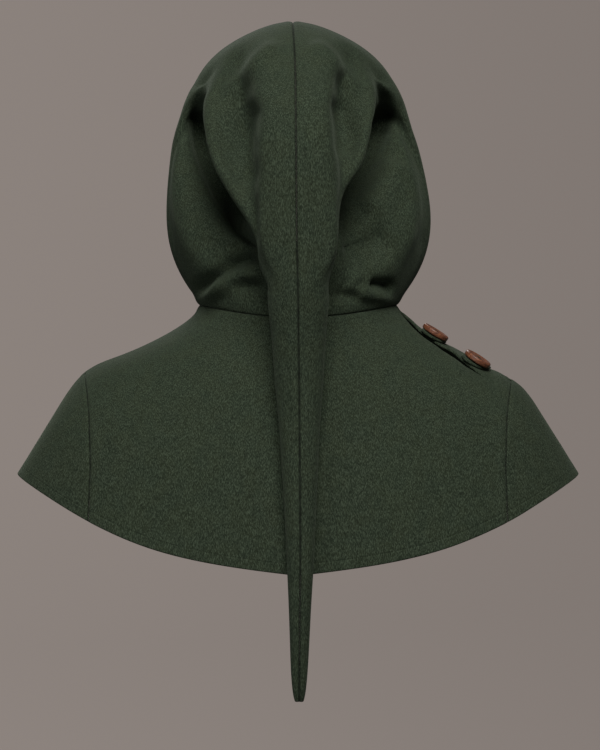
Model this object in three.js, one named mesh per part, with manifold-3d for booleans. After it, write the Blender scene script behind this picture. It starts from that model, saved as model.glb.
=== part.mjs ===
// A hood of thick felted wool whose crown runs out into a long hanging tail,
// sewn to a shoulder cape with a gore at each shoulder and a buttoned slit.
// Millimetres. The face looks along -Y, the wearer's left is +X, and the crown's
// inner surface is at the origin.
import * as THREE from "three";
import Module from "manifold-3d";

const wasm = await Module();
wasm.setup();

// Named sizes
const CLOTH = 2.4;
const SEAM_GAP = 0.3;
const NECK_HALF_WIDTH = 90;
const NECK_DEPTH = 91.5;
const NECK_SHIFT = -3.5;
const NECK_SIDE_Z = -258;
const NECK_BACK_DROP = 13;
const NECK_FRONT_DROP = 42;
const HEM_HALF_WIDTH = 257;
const HEM_BACK = 129;
const HEM_FRONT = 125;
const HEM_SIDE_Z = -413.5;
const HEM_BACK_DROP = 83.4;
const HEM_BACK_POWER = 1.07;
const HEM_FRONT_DROP = 70;
const BUTTON_RADIUS = 13;
const BUTTON_THICK = 5;
const BUTTON_EDGE = 1.6;
const BUTTON_DISH = 0.9;
const HOLE_RADIUS = 1.1;
const HOLE_OFFSET = 2.6;
const TAB_HALF_WIDTH = 12;

const radians = THREE.MathUtils.degToRad;

// The seam between hood and cape, by the angle round the neck from the back.
function neckPoint(angle) {
  const across = Math.sin(angle);
  const back = Math.cos(angle);
  const drop = back > 0 ? NECK_BACK_DROP : NECK_FRONT_DROP;
  return new THREE.Vector3(
    NECK_HALF_WIDTH * across,
    NECK_SHIFT + NECK_DEPTH * back,
    NECK_SIDE_Z - drop * back * back,
  );
}

// The cape's lower edge, by the same angle.
function hemPoint(angle) {
  const across = Math.sin(angle);
  const back = Math.cos(angle);
  const reach = back > 0 ? HEM_BACK : HEM_FRONT;
  const drop = back > 0 ? HEM_BACK_DROP : HEM_FRONT_DROP;
  const power = back > 0 ? HEM_BACK_POWER : 1;
  return new THREE.Vector3(
    HEM_HALF_WIDTH * across,
    reach * back,
    HEM_SIDE_Z - drop * (back * back) ** power,
  );
}

// The hood's sections from the face edge over the crown to the root of the tail,
// on the left side. Each goes from the centre seam round to the lower edge, which
// on the sections with a neck angle lies on the neck seam.
const STATIONS = [
  "seam",
  "ridge",
  "valley",
  "rim",
  "tuck",
  "hollow",
  "billow",
  "flank",
  "low",
  "end",
];
const SECTIONS = [
  {
    name: "face edge",
    seam: [0, -88, -20],
    ridge: [30, -90, -25],
    valley: [55, -91, -43],
    rim: [72, -91, -68],
    tuck: [82, -91, -100],
    hollow: [86, -92, -138],
    billow: [82, -95, -180],
    flank: [64, -102, -212],
    low: [36, -108, -232],
    end: [0, -112, -240],
  },
  {
    name: "temple",
    seam: [2, -58, -6],
    ridge: [36, -60, -13],
    valley: [66, -61, -34],
    rim: [86, -62, -64],
    tuck: [98, -62, -98],
    hollow: [104, -63, -138],
    billow: [102, -67, -180],
    flank: [86, -80, -222],
    low: [47, -102, -250],
    end: [0, -107, -268],
  },
  {
    name: "throat",
    neck: 180,
    seam: [3.5, -30, -0.5],
    ridge: [40, -31, -10],
    valley: [73, -31, -32],
    rim: [94, -32, -64],
    tuck: [103, -32, -88],
    hollow: [109, -33, -112],
    billow: [113, -34, -143],
    flank: [109, -41, -197],
    low: [75, -71, -249],
  },
  {
    name: "top of crown",
    neck: 150,
    seam: [4.5, -2, 1.2],
    ridge: [40, -2, -9],
    valley: [75, -2, -32],
    rim: [95.5, -2, -62],
    tuck: [103, -3, -81],
    hollow: [108.5, -3, -99],
    billow: [113.5, -4, -122],
    flank: [119, -8, -172],
    low: [105, -28, -229],
  },
  {
    name: "behind the ear",
    neck: 120,
    seam: [4.8, 28, -2.6],
    ridge: [40, 29, -14],
    valley: [70, 29, -35],
    rim: [88, 23, -59],
    tuck: [96, 15, -74],
    hollow: [101, 9, -91],
    billow: [108, 7, -114],
    flank: [117, 4, -166],
    low: [109, -8, -226],
  },
  {
    name: "back of crown",
    neck: 90,
    seam: [4.5, 58, -9],
    ridge: [38, 60, -20],
    valley: [58, 57, -36],
    rim: [73, 56, -54],
    tuck: [82, 35, -66],
    hollow: [87, 6, -90],
    billow: [103, 13, -112],
    flank: [114, 17, -160],
    low: [108, 9, -219],
  },
  {
    name: "high on the back",
    neck: 60,
    seam: [3.8, 88, -24],
    ridge: [34, 90, -33],
    valley: [49, 77, -50],
    rim: [74, 79, -77],
    tuck: [74, 50, -85],
    hollow: [80, 12, -114],
    billow: [98, 23, -133],
    flank: [111, 30, -174],
    low: [99, 33, -225],
  },
  {
    name: "shoulder of the funnel",
    neck: 30,
    seam: [2.6, 116, -47],
    ridge: [32, 116, -56],
    valley: [46, 90, -75],
    rim: [73, 97, -102],
    tuck: [67, 65, -112],
    hollow: [69, 26, -144],
    billow: [89, 35, -156],
    flank: [99, 46, -190],
    low: [79, 60, -231],
  },
  {
    name: "nape",
    neck: 0,
    seam: [2, 138, -80],
    ridge: [31, 136, -88],
    valley: [43, 96, -106],
    rim: [68, 109, -131],
    tuck: [60, 80, -141],
    hollow: [57, 40, -172],
    billow: [73, 50, -184],
    flank: [70, 62, -208],
    low: [43, 76, -240],
  },
  {
    name: "wide funnel",
    seam: [1.7, 150, -112],
    ridge: [31, 147, -119],
    valley: [40, 112, -135],
    rim: [54, 117, -161],
    tuck: [48, 96, -170],
    hollow: [44, 64, -195],
    billow: [46, 71, -205],
    flank: [33, 86, -216],
    low: [17, 92, -231],
    end: [0, 91, -246],
  },
  {
    name: "narrow funnel",
    seam: [1.5, 155, -148],
    ridge: [30, 150, -153],
    valley: [34, 129, -168],
    rim: [38, 124, -190],
    tuck: [35, 108, -195],
    hollow: [31, 92, -206],
    billow: [25, 95, -212],
    flank: [17, 99, -217],
    low: [8, 99, -222],
    end: [0, 98, -225],
  },
  {
    name: "fork of the tail",
    seam: [1.2, 156, -182],
    ridge: [29, 151, -185],
    valley: [32, 141, -193],
    rim: [34, 127, -212],
    tuck: [29, 115, -213],
    hollow: [21, 109, -208],
    billow: [14, 107, -207],
    flank: [9.5, 106, -206],
    low: [5, 106, -206],
    end: [0, 106, -206],
  },
  {
    name: "root of the tail",
    seam: [0.8, 155, -214],
    ridge: [26, 150, -216],
    valley: [30, 142, -220],
    rim: [31.5, 130, -231],
    tuck: [26, 119, -231],
    hollow: [18, 115, -229],
    billow: [12, 113, -228],
    flank: [7, 112.5, -228],
    low: [3.5, 112, -228],
    end: [0, 112, -228],
  },
];

// Where the right side differs: it is a little fuller at the ear, and its funnel
// gathers into the tail sooner.
const RIGHT_SIDE = [
  {
    name: "top of crown",
    valley: [75, -2, -32],
    rim: [95.5, -2, -62],
    tuck: [103, -3, -81],
    hollow: [108.5, -3, -99],
    billow: [115, -4, -122],
    flank: [120.5, -8, -172],
  },
  {
    name: "behind the ear",
    valley: [70, 29, -35],
    rim: [88, 23, -59],
    tuck: [95, 15, -74],
    hollow: [100, 8, -92],
    billow: [108, 5, -116],
    flank: [119, 3, -166],
  },
  {
    name: "back of crown",
    valley: [56, 58, -34],
    rim: [67.5, 56, -52],
    tuck: [76, 37, -62],
    hollow: [81, 4, -83],
    billow: [100, 13, -110],
  },
  {
    name: "high on the back",
    valley: [46, 77, -49],
    rim: [66.5, 78, -71],
    tuck: [66, 50, -79],
    hollow: [74, 12, -103],
    billow: [97, 24, -131],
    flank: [112, 31, -173],
  },
  {
    name: "shoulder of the funnel",
    valley: [40, 92, -72],
    rim: [65.5, 95, -93],
    tuck: [59, 65, -102],
    hollow: [64, 23, -126],
    billow: [88, 34, -152],
    flank: [100, 47, -190],
  },
  {
    name: "nape",
    valley: [38, 101, -100],
    rim: [61, 108, -117],
    tuck: [52, 81, -126],
    hollow: [53, 38, -151],
    billow: [73, 50, -175],
    flank: [71, 63, -206],
  },
  {
    name: "wide funnel",
    valley: [37, 118, -128],
    rim: [51, 117, -140],
    tuck: [44, 97, -149],
    hollow: [40, 60, -175],
    billow: [44, 71, -197],
    flank: [32, 86, -214],
  },
  {
    name: "narrow funnel",
    valley: [36, 133, -156],
    rim: [38, 126, -168],
    tuck: [33, 110, -174],
    hollow: [28, 90, -192],
    billow: [23, 95, -206],
  },
  {
    name: "fork of the tail",
    valley: [32, 142, -187],
    rim: [34, 129, -194],
    tuck: [29, 116, -197],
    hollow: [20, 109, -202],
    billow: [13, 107, -204],
  },
  {
    name: "root of the tail",
    valley: [30, 142, -220],
    rim: [30, 131, -223],
    tuck: [26, 119, -225],
  },
];

// The worn hood leans a little to the wearer's left towards the crown.
const LEAN = [
  { z: -262, x: 0 },
  { z: -215, x: -0.9 },
  { z: -160, x: 1 },
  { z: -110, x: 3.6 },
  { z: -50, x: 3.4 },
  { z: 0, x: 4.6 },
];

// The tail is a flattened tube: its sections by height.
const TAIL = [
  { z: -252, x: -0.2, y: 134, halfWidth: 25.2, halfDepth: 19.5 },
  { z: -288, x: -0.6, y: 131, halfWidth: 22.6, halfDepth: 17.3 },
  { z: -326, x: -1, y: 130, halfWidth: 20, halfDepth: 15.3 },
  { z: -364, x: -1.3, y: 132, halfWidth: 16.8, halfDepth: 13.3 },
  { z: -404, x: -1.7, y: 136, halfWidth: 14.5, halfDepth: 11.4 },
  { z: -442, x: -2, y: 140, halfWidth: 12.4, halfDepth: 9.8 },
  { z: -480, x: -2.1, y: 142.5, halfWidth: 10.7, halfDepth: 8.5 },
  { z: -516, x: -1.8, y: 143.5, halfWidth: 8.8, halfDepth: 7.4 },
  { z: -550, x: -1.5, y: 143, halfWidth: 7.3, halfDepth: 6.4 },
  { z: -578, x: -1.2, y: 142, halfWidth: 5.9, halfDepth: 5.4 },
  { z: -596, x: -1.1, y: 141.5, halfWidth: 4, halfDepth: 3.9 },
  { z: -604.5, x: -1.1, y: 141, halfWidth: 2.2, halfDepth: 2.2 },
];

// Folds on the back, as paths of x and z out from the middle, with the half width
// and lift of each. A zone keeps a fold to its own layer of the cloth.
const ZONES = {
  crown: { from: -1, to: 3.4 },
  edge: { from: 2.2, to: 5.2 },
  under: { from: 3.6, to: 7.2 },
  low: { from: 4.3, to: 12 },
};
const FOLDS = [
  {
    name: "left neck roll",
    zone: "low",
    side: 1,
    path: [[91, -262], [84, -256], [75, -247], [60, -236], [47, -231], [26, -231]],
    width: 6.5,
    lift: 8,
  },
  {
    name: "crevice over the left roll",
    zone: "low",
    side: 1,
    path: [[96, -252], [86, -244], [76, -236], [61, -226], [46, -220], [26, -219]],
    width: 6,
    lift: -8,
  },
  {
    name: "dent under the left roll",
    zone: "low",
    side: 1,
    path: [[58, -245], [44, -242], [26, -244]],
    width: 4.5,
    lift: -4,
  },
  {
    name: "right neck roll",
    zone: "low",
    side: -1,
    path: [[92, -262], [86, -256], [78, -250], [66, -246], [54, -246]],
    width: 5.5,
    lift: 5,
  },
  {
    name: "pocket over the right roll",
    zone: "low",
    side: -1,
    path: [[88, -246], [80, -240], [72, -239], [62, -242]],
    width: 6,
    lift: -9,
  },
  {
    name: "dent beside the tail",
    zone: "low",
    side: -1,
    path: [[56, -253], [44, -252], [30, -251]],
    width: 6,
    lift: -4,
  },
  {
    name: "soft hollow on the right",
    zone: "low",
    side: -1,
    path: [[86, -188], [62, -200], [42, -206]],
    width: 10,
    lift: -3,
  },
  {
    name: "crease down the right side",
    zone: "low",
    side: -1,
    path: [[92, -52], [106, -98], [118, -152], [114, -200], [90, -254]],
    width: 6,
    lift: -2.5,
  },
  {
    name: "left rim of the funnel",
    zone: "edge",
    side: 1,
    path: [[66, -50], [78, -80], [79, -110], [73, -134], [64, -152], [47, -180], [38, -196], [32, -226]],
    width: 5.5,
    lift: 3.5,
  },
  {
    name: "groove under the left rim",
    zone: "under",
    side: 1,
    path: [[88, -62], [88, -88], [85, -110], [75, -138], [62, -162], [46, -186], [38, -204]],
    width: 8,
    lift: -4,
  },
  {
    name: "right rim of the funnel",
    zone: "edge",
    side: -1,
    path: [[56, -46], [66, -72], [67, -100], [62, -122], [50, -142], [38, -162]],
    width: 5.5,
    lift: 3.5,
  },
  {
    name: "groove under the right rim",
    zone: "under",
    side: -1,
    path: [[74, -56], [77, -84], [72, -110], [60, -134], [46, -154], [38, -172]],
    width: 8,
    lift: -4,
  },
  {
    name: "left crown ridge",
    zone: "crown",
    side: 1,
    path: [[10, -14], [30, -44], [54, -80]],
    width: 8,
    lift: 4.5,
  },
  {
    name: "left crown furrow",
    zone: "crown",
    side: 1,
    path: [[44, -80], [47, -96], [49, -118], [47, -150], [42, -176]],
    width: 10,
    lift: -3,
  },
  {
    name: "right crown ridge",
    zone: "crown",
    side: -1,
    path: [[6, -30], [18, -46], [38, -66], [53, -84]],
    width: 7.5,
    lift: 4.5,
  },
  {
    name: "right crown furrow",
    zone: "crown",
    side: -1,
    path: [[24, -70], [27, -88], [31, -108], [37, -134]],
    width: 8,
    lift: -4,
  },
];
const FOLD_FADE = 0.22;
const ZONE_FADE = 0.8;

// The cape between neck and hem. Share is how far out towards the hem.
const CAPE_LINES = ["collar", "neck slope", "ridge", "shoulder", "fall", "skirt"];
const CAPE = [
  {
    angle: 0,
    share: [0.08, 0.3, 0.5, 0.68, 0.82, 0.93],
    z: [-285, -315, -348, -385, -422, -460],
  },
  {
    angle: 30,
    share: [0.06, 0.22, 0.42, 0.6, 0.77, 0.9],
    z: [-281, -301, -328, -360, -396, -436],
  },
  {
    angle: 60,
    share: [0.05, 0.2, 0.42, 0.62, 0.79, 0.91],
    z: [-273.5, -289, -308, -329, -356, -391],
  },
  {
    angle: 90,
    share: [0.042, 0.2, 0.43, 0.635, 0.79, 0.915],
    z: [-270, -287.5, -305, -321.5, -357, -391],
  },
  {
    angle: 120,
    share: [0.05, 0.2, 0.42, 0.62, 0.79, 0.91],
    z: [-280, -293, -311, -331, -357, -391],
  },
  {
    angle: 150,
    share: [0.07, 0.25, 0.45, 0.63, 0.79, 0.91],
    z: [-301, -319, -343, -371, -403, -436],
  },
  {
    angle: 180,
    share: [0.1, 0.35, 0.55, 0.72, 0.85, 0.94],
    z: [-312, -338, -365, -394, -425, -456],
  },
];
const HEM_LINE = CAPE_LINES.length + 1;

// The right shoulder's ridge is lower than the left one's, by distance out.
const SAG = [
  { x: 90, drop: 0 },
  { x: 97, drop: -3.1 },
  { x: 104, drop: -3.3 },
  { x: 117, drop: -1.8 },
  { x: 137, drop: 0.2 },
  { x: 154, drop: 2 },
  { x: 165, drop: 5 },
  { x: 176, drop: 7.2 },
  { x: 193, drop: 7.1 },
  { x: 206, drop: 2.8 },
  { x: 214, drop: 1.2 },
  { x: 240, drop: 0 },
];
const SAG_REACH = 55;

// The gore's seam runs from its apex on the shoulder down to the hem.
const APEX_LINE = 4;
const APEX_ANGLE = 82;
const GORE_SEAM = [
  { line: 4, inward: 0 },
  { line: 4.5, inward: 4.5 },
  { line: 5, inward: 7.5 },
  { line: 6, inward: 10 },
  { line: 7, inward: 8.7 },
];

// The slit runs from the neck seam along the right shoulder, by half gap.
const SLIT_END_LINE = 3.8;
const SLIT = [
  { line: 0, halfGap: 0.5 },
  { line: 0.8, halfGap: 1.2 },
  { line: 1.5, halfGap: 2.2 },
  { line: 2.1, halfGap: 1 },
  { line: 2.7, halfGap: 1.3 },
  { line: 3.2, halfGap: 0.7 },
  { line: 3.8, halfGap: 0 },
];

// Where the slit is, and below its end the seam above the gore.
const PARTING = [
  { line: 0, angle: 90 },
  { line: 0.5, angle: 86.5 },
  { line: 1, angle: 81 },
  { line: 1.9, angle: 73.5 },
  { line: 2.8, angle: 68 },
  { line: 3.4, angle: 66 },
  { line: 3.8, angle: 65 },
  { line: 4, angle: 82 },
];

const BUTTONS = [
  { name: "upper", x: 122, angle: 79, tabBack: 15, tabFront: 17 },
  { name: "lower", x: 159.7, angle: 74, tabBack: 15, tabFront: 17 },
];

// A value between the rows of a table, by one column.
function lookUp(rows, by, column, at) {
  if (at <= rows[0][by]) return rows[0][column];
  for (let i = 1; i < rows.length; i++) {
    if (at <= rows[i][by]) {
      const share = (at - rows[i - 1][by]) / (rows[i][by] - rows[i - 1][by]);
      return rows[i - 1][column] + share * (rows[i][column] - rows[i - 1][column]);
    }
  }
  return rows[rows.length - 1][column];
}

function ramp(value) {
  const clamped = Math.min(Math.max(value, 0), 1);
  return clamped * clamped * (3 - 2 * clamped);
}

// The bends of a natural cubic spline through count points, as weights of them.
function bendWeights(count) {
  const bends = [];
  for (let source = 0; source < count; source++) {
    const pulls = new Array(count).fill(0);
    const right = new Array(count).fill(0);
    for (let i = 1; i < count - 1; i++) {
      const load = i === source ? -12 : Math.abs(i - source) === 1 ? 6 : 0;
      const pivot = 4 - pulls[i - 1];
      pulls[i] = 1 / pivot;
      right[i] = (load - right[i - 1]) / pivot;
    }
    const bend = new Array(count).fill(0);
    for (let i = count - 2; i > 0; i--) bend[i] = right[i] - pulls[i] * bend[i + 1];
    bends.push(bend);
  }
  return bends;
}

// How much each point counts at a place along the spline.
function splineWeights(bends, at) {
  const count = bends.length;
  const before = Math.min(Math.max(Math.floor(at), 0), count - 2);
  const ahead = at - before;
  const behind = 1 - ahead;
  return bends.map((bend, source) => {
    const line = source === before ? behind : source === before + 1 ? ahead : 0;
    const low = (behind ** 3 - behind) * bend[before];
    const high = (ahead ** 3 - ahead) * bend[before + 1];
    return line + (low + high) / 6;
  });
}

// A smooth surface through a net of points, rows by columns.
class Net {
  constructor(points) {
    this.points = points;
    this.rowBends = bendWeights(points.length);
    this.columnBends = bendWeights(points[0].length);
    this.lastRow = points.length - 1;
    this.lastColumn = points[0].length - 1;
  }
  at(row, column) {
    const rowWeights = splineWeights(this.rowBends, row);
    const columnWeights = splineWeights(this.columnBends, column);
    const sum = new THREE.Vector3();
    this.points.forEach((line, i) => {
      line.forEach((point, j) => {
        sum.addScaledVector(point, rowWeights[i] * columnWeights[j]);
      });
    });
    return sum;
  }
}

const STEP = 0.02;

// The outward direction of a surface given as a function of two parameters.
function normalOf(surface, a, b, lastA, lastB) {
  const alongA = surface(Math.min(a + STEP, lastA), b).sub(surface(Math.max(a - STEP, 0), b));
  const alongB = surface(a, Math.min(b + STEP, lastB)).sub(surface(a, Math.max(b - STEP, 0)));
  return alongA.cross(alongB).normalize();
}

// The hood

const SEAM_COLUMN = STATIONS.length - 1;
const FIRST_NECK_ROW = 2;
const LAST_NECK_ROW = 8;

function neckAngleOfRow(row) {
  return radians(180 - 30 * (row - FIRST_NECK_ROW));
}

function hoodNet() {
  const rows = SECTIONS.map((section) => {
    const other = RIGHT_SIDE.find((entry) => entry.name === section.name) ?? {};
    const placed = (station, side) => {
      if (station === "end" && section.neck !== undefined) {
        const point = neckPoint(radians(section.neck));
        return point.setX(side * point.x);
      }
      const cell = (side < 0 && other[station]) || section[station];
      const lean = lookUp(LEAN, "z", "x", cell[2]) * Math.min(1, cell[0] / 30);
      return new THREE.Vector3(side * cell[0] + lean, cell[1], cell[2]);
    };
    const left = STATIONS.slice(1).map((station) => placed(station, 1));
    const right = STATIONS.slice(1).map((station) => placed(station, -1));
    return [...left.reverse(), new THREE.Vector3(...section.seam), ...right];
  });
  const tail = TAIL.map((row) =>
    Array.from({ length: 2 * SEAM_COLUMN + 1 }, (_, column) => {
      const turn = (Math.PI * (column - SEAM_COLUMN)) / SEAM_COLUMN;
      return new THREE.Vector3(
        row.x - row.halfWidth * Math.sin(turn),
        row.y + row.halfDepth * Math.cos(turn),
        row.z,
      );
    }),
  );
  return new Net([...rows, ...tail]);
}

const hood = hoodNet();
const CORNER_ROWS = [0, FIRST_NECK_ROW, LAST_NECK_ROW, hood.lastRow];
const stretches = CORNER_ROWS.slice(1).map((last, i) => {
  const first = CORNER_ROWS[i];
  return { first, last, net: new Net(hood.points.slice(first, last + 1)) };
});
const CREASE_FROM = 5.5;
const CREASE_WIDTH = 2.5;

// The net's surface, smooth along the crown but free to turn a corner at the throat
// and the nape, where the lower edge does.
function cornered(row, column) {
  const smooth = hood.at(row, column);
  const out = Math.abs(column - SEAM_COLUMN);
  const share = ramp((out - CREASE_FROM) / CREASE_WIDTH);
  if (share === 0) return smooth;
  const stretch = stretches.find((entry) => row <= entry.last);
  return smooth.lerp(stretch.net.at(row - stretch.first, column), share);
}

// That surface with its lower edge drawn onto the neck seam and the middle.
function seatedHood(row, column) {
  const point = cornered(row, column);
  const out = Math.abs(column - SEAM_COLUMN);
  const pull = ramp(out - (SEAM_COLUMN - 1));
  if (pull === 0 || row > SECTIONS.length - 1) return point;
  const side = column < SEAM_COLUMN ? 1 : -1;
  const edge = cornered(row, side > 0 ? 0 : hood.lastColumn);
  const onNeck = row >= FIRST_NECK_ROW && row <= LAST_NECK_ROW;
  const wanted = onNeck ? neckPoint(neckAngleOfRow(row)) : edge.clone().setX(0);
  wanted.setX(side * wanted.x);
  return point.addScaledVector(wanted.sub(edge), pull);
}

// How far the folds lift the cloth at a point of the back.
function foldLift(point, out, side) {
  let lift = 0;
  for (const fold of FOLDS) {
    const zone = ZONES[fold.zone];
    const gate = ramp((out - zone.from) / ZONE_FADE) * ramp((zone.to - out) / ZONE_FADE);
    if (gate === 0 || fold.side !== side) continue;
    const ends = fold.path.map(([x, z]) => new THREE.Vector2(side * x, z));
    const spans = ends.slice(1).map((end, i) => end.distanceTo(ends[i]));
    const whole = spans.reduce((sum, span) => sum + span, 0);
    let nearest = Infinity;
    let along = 0;
    let run = 0;
    spans.forEach((span, i) => {
      const way = ends[i + 1].clone().sub(ends[i]);
      const from = new THREE.Vector2(point.x, point.z).sub(ends[i]);
      const share = Math.min(Math.max(from.dot(way) / (span * span), 0), 1);
      const distance = from.addScaledVector(way, -share).length();
      if (distance < nearest) {
        nearest = distance;
        along = (run + share * span) / whole;
      }
      run += span;
    });
    const fade = ramp(along / FOLD_FADE) * ramp((1 - along) / FOLD_FADE);
    lift += fold.lift * gate * fade * Math.exp(-((nearest / fold.width) ** 2));
  }
  return lift;
}

const EDGE_FADE = 0.6;
const FACE_AWAY = 0.5;
const FACE_FADE = 0.4;

function hoodPoint(row, column) {
  const point = seatedHood(row, column);
  const out = Math.abs(column - SEAM_COLUMN);
  const normal = normalOf(seatedHood, row, column, hood.lastRow, hood.lastColumn);
  const facing = ramp((normal.y + FACE_AWAY) / FACE_FADE);
  if (facing === 0 || row > SECTIONS.length - 1) return point;
  const side = column < SEAM_COLUMN ? 1 : -1;
  const settle = ramp((SEAM_COLUMN - out) / EDGE_FADE);
  return point.addScaledVector(normal, facing * settle * foldLift(point, out, side));
}

// The cape

const capeNet = new Net(
  CAPE.map((row) => {
    const angle = radians(row.angle);
    const shares = [0, ...row.share, 1];
    const heights = [neckPoint(angle).z, ...row.z, hemPoint(angle).z];
    return shares.map((share, i) => new THREE.Vector3(share, 0, heights[i]));
  }),
);

// A point of the cape by angle in degrees from the back and line out from the neck.
function capePoint(side, degrees, line) {
  const angle = radians(degrees);
  const shape = capeNet.at((degrees / 180) * capeNet.lastRow, line);
  const neck = neckPoint(angle);
  const settle = neck.z - capeNet.at((degrees / 180) * capeNet.lastRow, 0).z;
  const point = neck.lerp(hemPoint(angle), shape.x).setZ(shape.z + settle * ramp(1 - line));
  if (side < 0) {
    const drop = lookUp(SAG, "x", "drop", point.x);
    point.z -= drop * Math.exp(-((point.y / SAG_REACH) ** 2));
  }
  return point.setX(side * point.x);
}

function capeNormal(side, degrees, line) {
  const surface = (a, b) => capePoint(side, a * 50, b);
  const normal = normalOf(surface, degrees / 50, line, 180 / 50, HEM_LINE);
  return normal.multiplyScalar(side);
}

// The angle where the cape, at one line, is a given distance out.
function angleAt(x, line, from, to) {
  let low = from;
  let high = to;
  for (let i = 0; i < 40; i++) {
    const middle = (low + high) / 2;
    if (capePoint(1, middle, line).x < x) low = middle;
    else high = middle;
  }
  return (low + high) / 2;
}

function goreEdges(line) {
  if (line <= APEX_LINE) return { back: APEX_ANGLE, front: APEX_ANGLE };
  const x = capePoint(1, APEX_ANGLE, APEX_LINE).x - lookUp(GORE_SEAM, "line", "inward", line);
  return {
    back: angleAt(x, line, 10, 90),
    front: angleAt(x, line, 170, 90),
  };
}

// Closed pieces

// One corner of a sheet: where it is and which way the cloth faces there.
function corner(point, normal) {
  return { point, normal };
}

// A closed body from patches of corners, thickened to both sides.
function thicken(patches, thickness = CLOTH) {
  const corners = [];
  const byPlace = new Map();
  const indexOf = (entry) => {
    const key = entry.point.toArray().map((value) => Math.round(value * 1000)).join(",");
    if (!byPlace.has(key)) {
      byPlace.set(key, corners.length);
      corners.push(entry);
    }
    return byPlace.get(key);
  };
  const faces = [];
  for (const patch of patches) {
    for (let i = 0; i + 1 < patch.length; i++) {
      for (let j = 0; j + 1 < patch[i].length; j++) {
        const square = [
          indexOf(patch[i][j]),
          indexOf(patch[i + 1][j]),
          indexOf(patch[i + 1][j + 1]),
          indexOf(patch[i][j + 1]),
        ];
        faces.push([square[0], square[1], square[2]]);
        faces.push([square[0], square[2], square[3]]);
      }
    }
  }
  const kept = faces.filter((face) => new Set(face).size === 3);
  const edges = new Map();
  for (const face of kept) {
    face.forEach((from, i) => edges.set(`${from},${face[(i + 1) % 3]}`, true));
  }
  const count = corners.length;
  const triangles = [];
  for (const face of kept) {
    triangles.push([face[0], face[1], face[2]]);
    triangles.push([face[2] + count, face[1] + count, face[0] + count]);
    face.forEach((from, i) => {
      const to = face[(i + 1) % 3];
      if (edges.has(`${to},${from}`)) return;
      triangles.push([from, from + count, to]);
      triangles.push([to, from + count, to + count]);
    });
  }
  const places = [0.5, -0.5].flatMap((share) =>
    corners.map((entry) =>
      entry.point.clone().addScaledVector(entry.normal, share * thickness),
    ),
  );
  const geometry = new THREE.BufferGeometry();
  geometry.setAttribute(
    "position",
    new THREE.Float32BufferAttribute(places.flatMap((place) => place.toArray()), 3),
  );
  geometry.setIndex(triangles.flat());
  const merged = geometry.toNonIndexed();
  merged.computeVertexNormals();
  return merged;
}

// The same patch seen from its other side.
function turned(patch) {
  return patch.map((line) => [...line].reverse());
}

function inPlane(normal) {
  return normal.setX(0).normalize();
}

// Evenly spaced numbers from the first to the last, both included.
function spread(from, to, steps) {
  return Array.from({ length: steps + 1 }, (_, i) => from + ((to - from) * i) / steps);
}

const FACE_STEPS = 5;
const NECK_STEPS = 18;
const FUNNEL_STEPS = 9;
const TAIL_STEPS = 13;
const COLUMN_STEPS = 17;

function hoodHalf(side) {
  const rows = [
    ...spread(0, FIRST_NECK_ROW, FACE_STEPS),
    ...spread(FIRST_NECK_ROW, LAST_NECK_ROW, NECK_STEPS).slice(1),
    ...spread(LAST_NECK_ROW, SECTIONS.length - 1, FUNNEL_STEPS).slice(1),
    ...spread(SECTIONS.length - 1, hood.lastRow, TAIL_STEPS).slice(1),
  ];
  const columns = spread(SEAM_COLUMN, side > 0 ? 0 : hood.lastColumn, COLUMN_STEPS);
  const patch = rows.map((row) =>
    columns.map((column) => {
      const point = hoodPoint(row, column);
      const normal = normalOf(hoodPoint, row, column, hood.lastRow, hood.lastColumn);
      const out = Math.abs(column - SEAM_COLUMN);
      const onNeck = row >= FIRST_NECK_ROW && row <= LAST_NECK_ROW;
      if (out === 0) return corner(point, inPlane(normal));
      if (out < SEAM_COLUMN) return corner(point, normal);
      if (!onNeck) return corner(point, inPlane(normal));
      const angle = neckAngleOfRow(row);
      return corner(point, new THREE.Vector3(side * Math.sin(angle), Math.cos(angle), 0));
    }),
  );
  return thicken([side < 0 ? patch : turned(patch)]);
}

const UPPER_LINES = [0, 0.5, 1, 1.5, 2, 2.5, 3, 3.4, SLIT_END_LINE];
const LOWER_LINES = [APEX_LINE, 4.12, 4.3, 4.6, 5, 5.5, 6, 6.5, HEM_LINE];
const CAPE_ANGLE_STEPS = 9;

function capeCorner(side, degrees, line) {
  const point = capePoint(side, degrees, line);
  const normal = capeNormal(side, degrees, line);
  const angle = radians(degrees);
  if (line === 0) {
    const outward = new THREE.Vector3(side * Math.sin(angle), Math.cos(angle), 0);
    return corner(point, outward);
  }
  if (degrees === 0 || degrees === 180) return corner(point, inPlane(normal));
  return corner(point, normal);
}

// The line that parts back from front above the gore, in degrees.
function partingAngle(side, line) {
  if (side > 0) return 90 - (90 - APEX_ANGLE) * (line / APEX_LINE) ** 2;
  return lookUp(PARTING, "line", "angle", line);
}

function slitHalfGap(side, line, degrees) {
  if (side > 0 || line >= SLIT_END_LINE) return 0;
  const here = capePoint(side, degrees, line);
  const perDegree = here.distanceTo(capePoint(side, degrees + 1, line));
  return lookUp(SLIT, "line", "halfGap", line) / perDegree;
}

// Between an edge and the centre the columns run smoothly past the gore's apex,
// this far from the ridge there. On the right the front has one more, on the ridge.
const APEX_SPREAD = 17;

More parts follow.
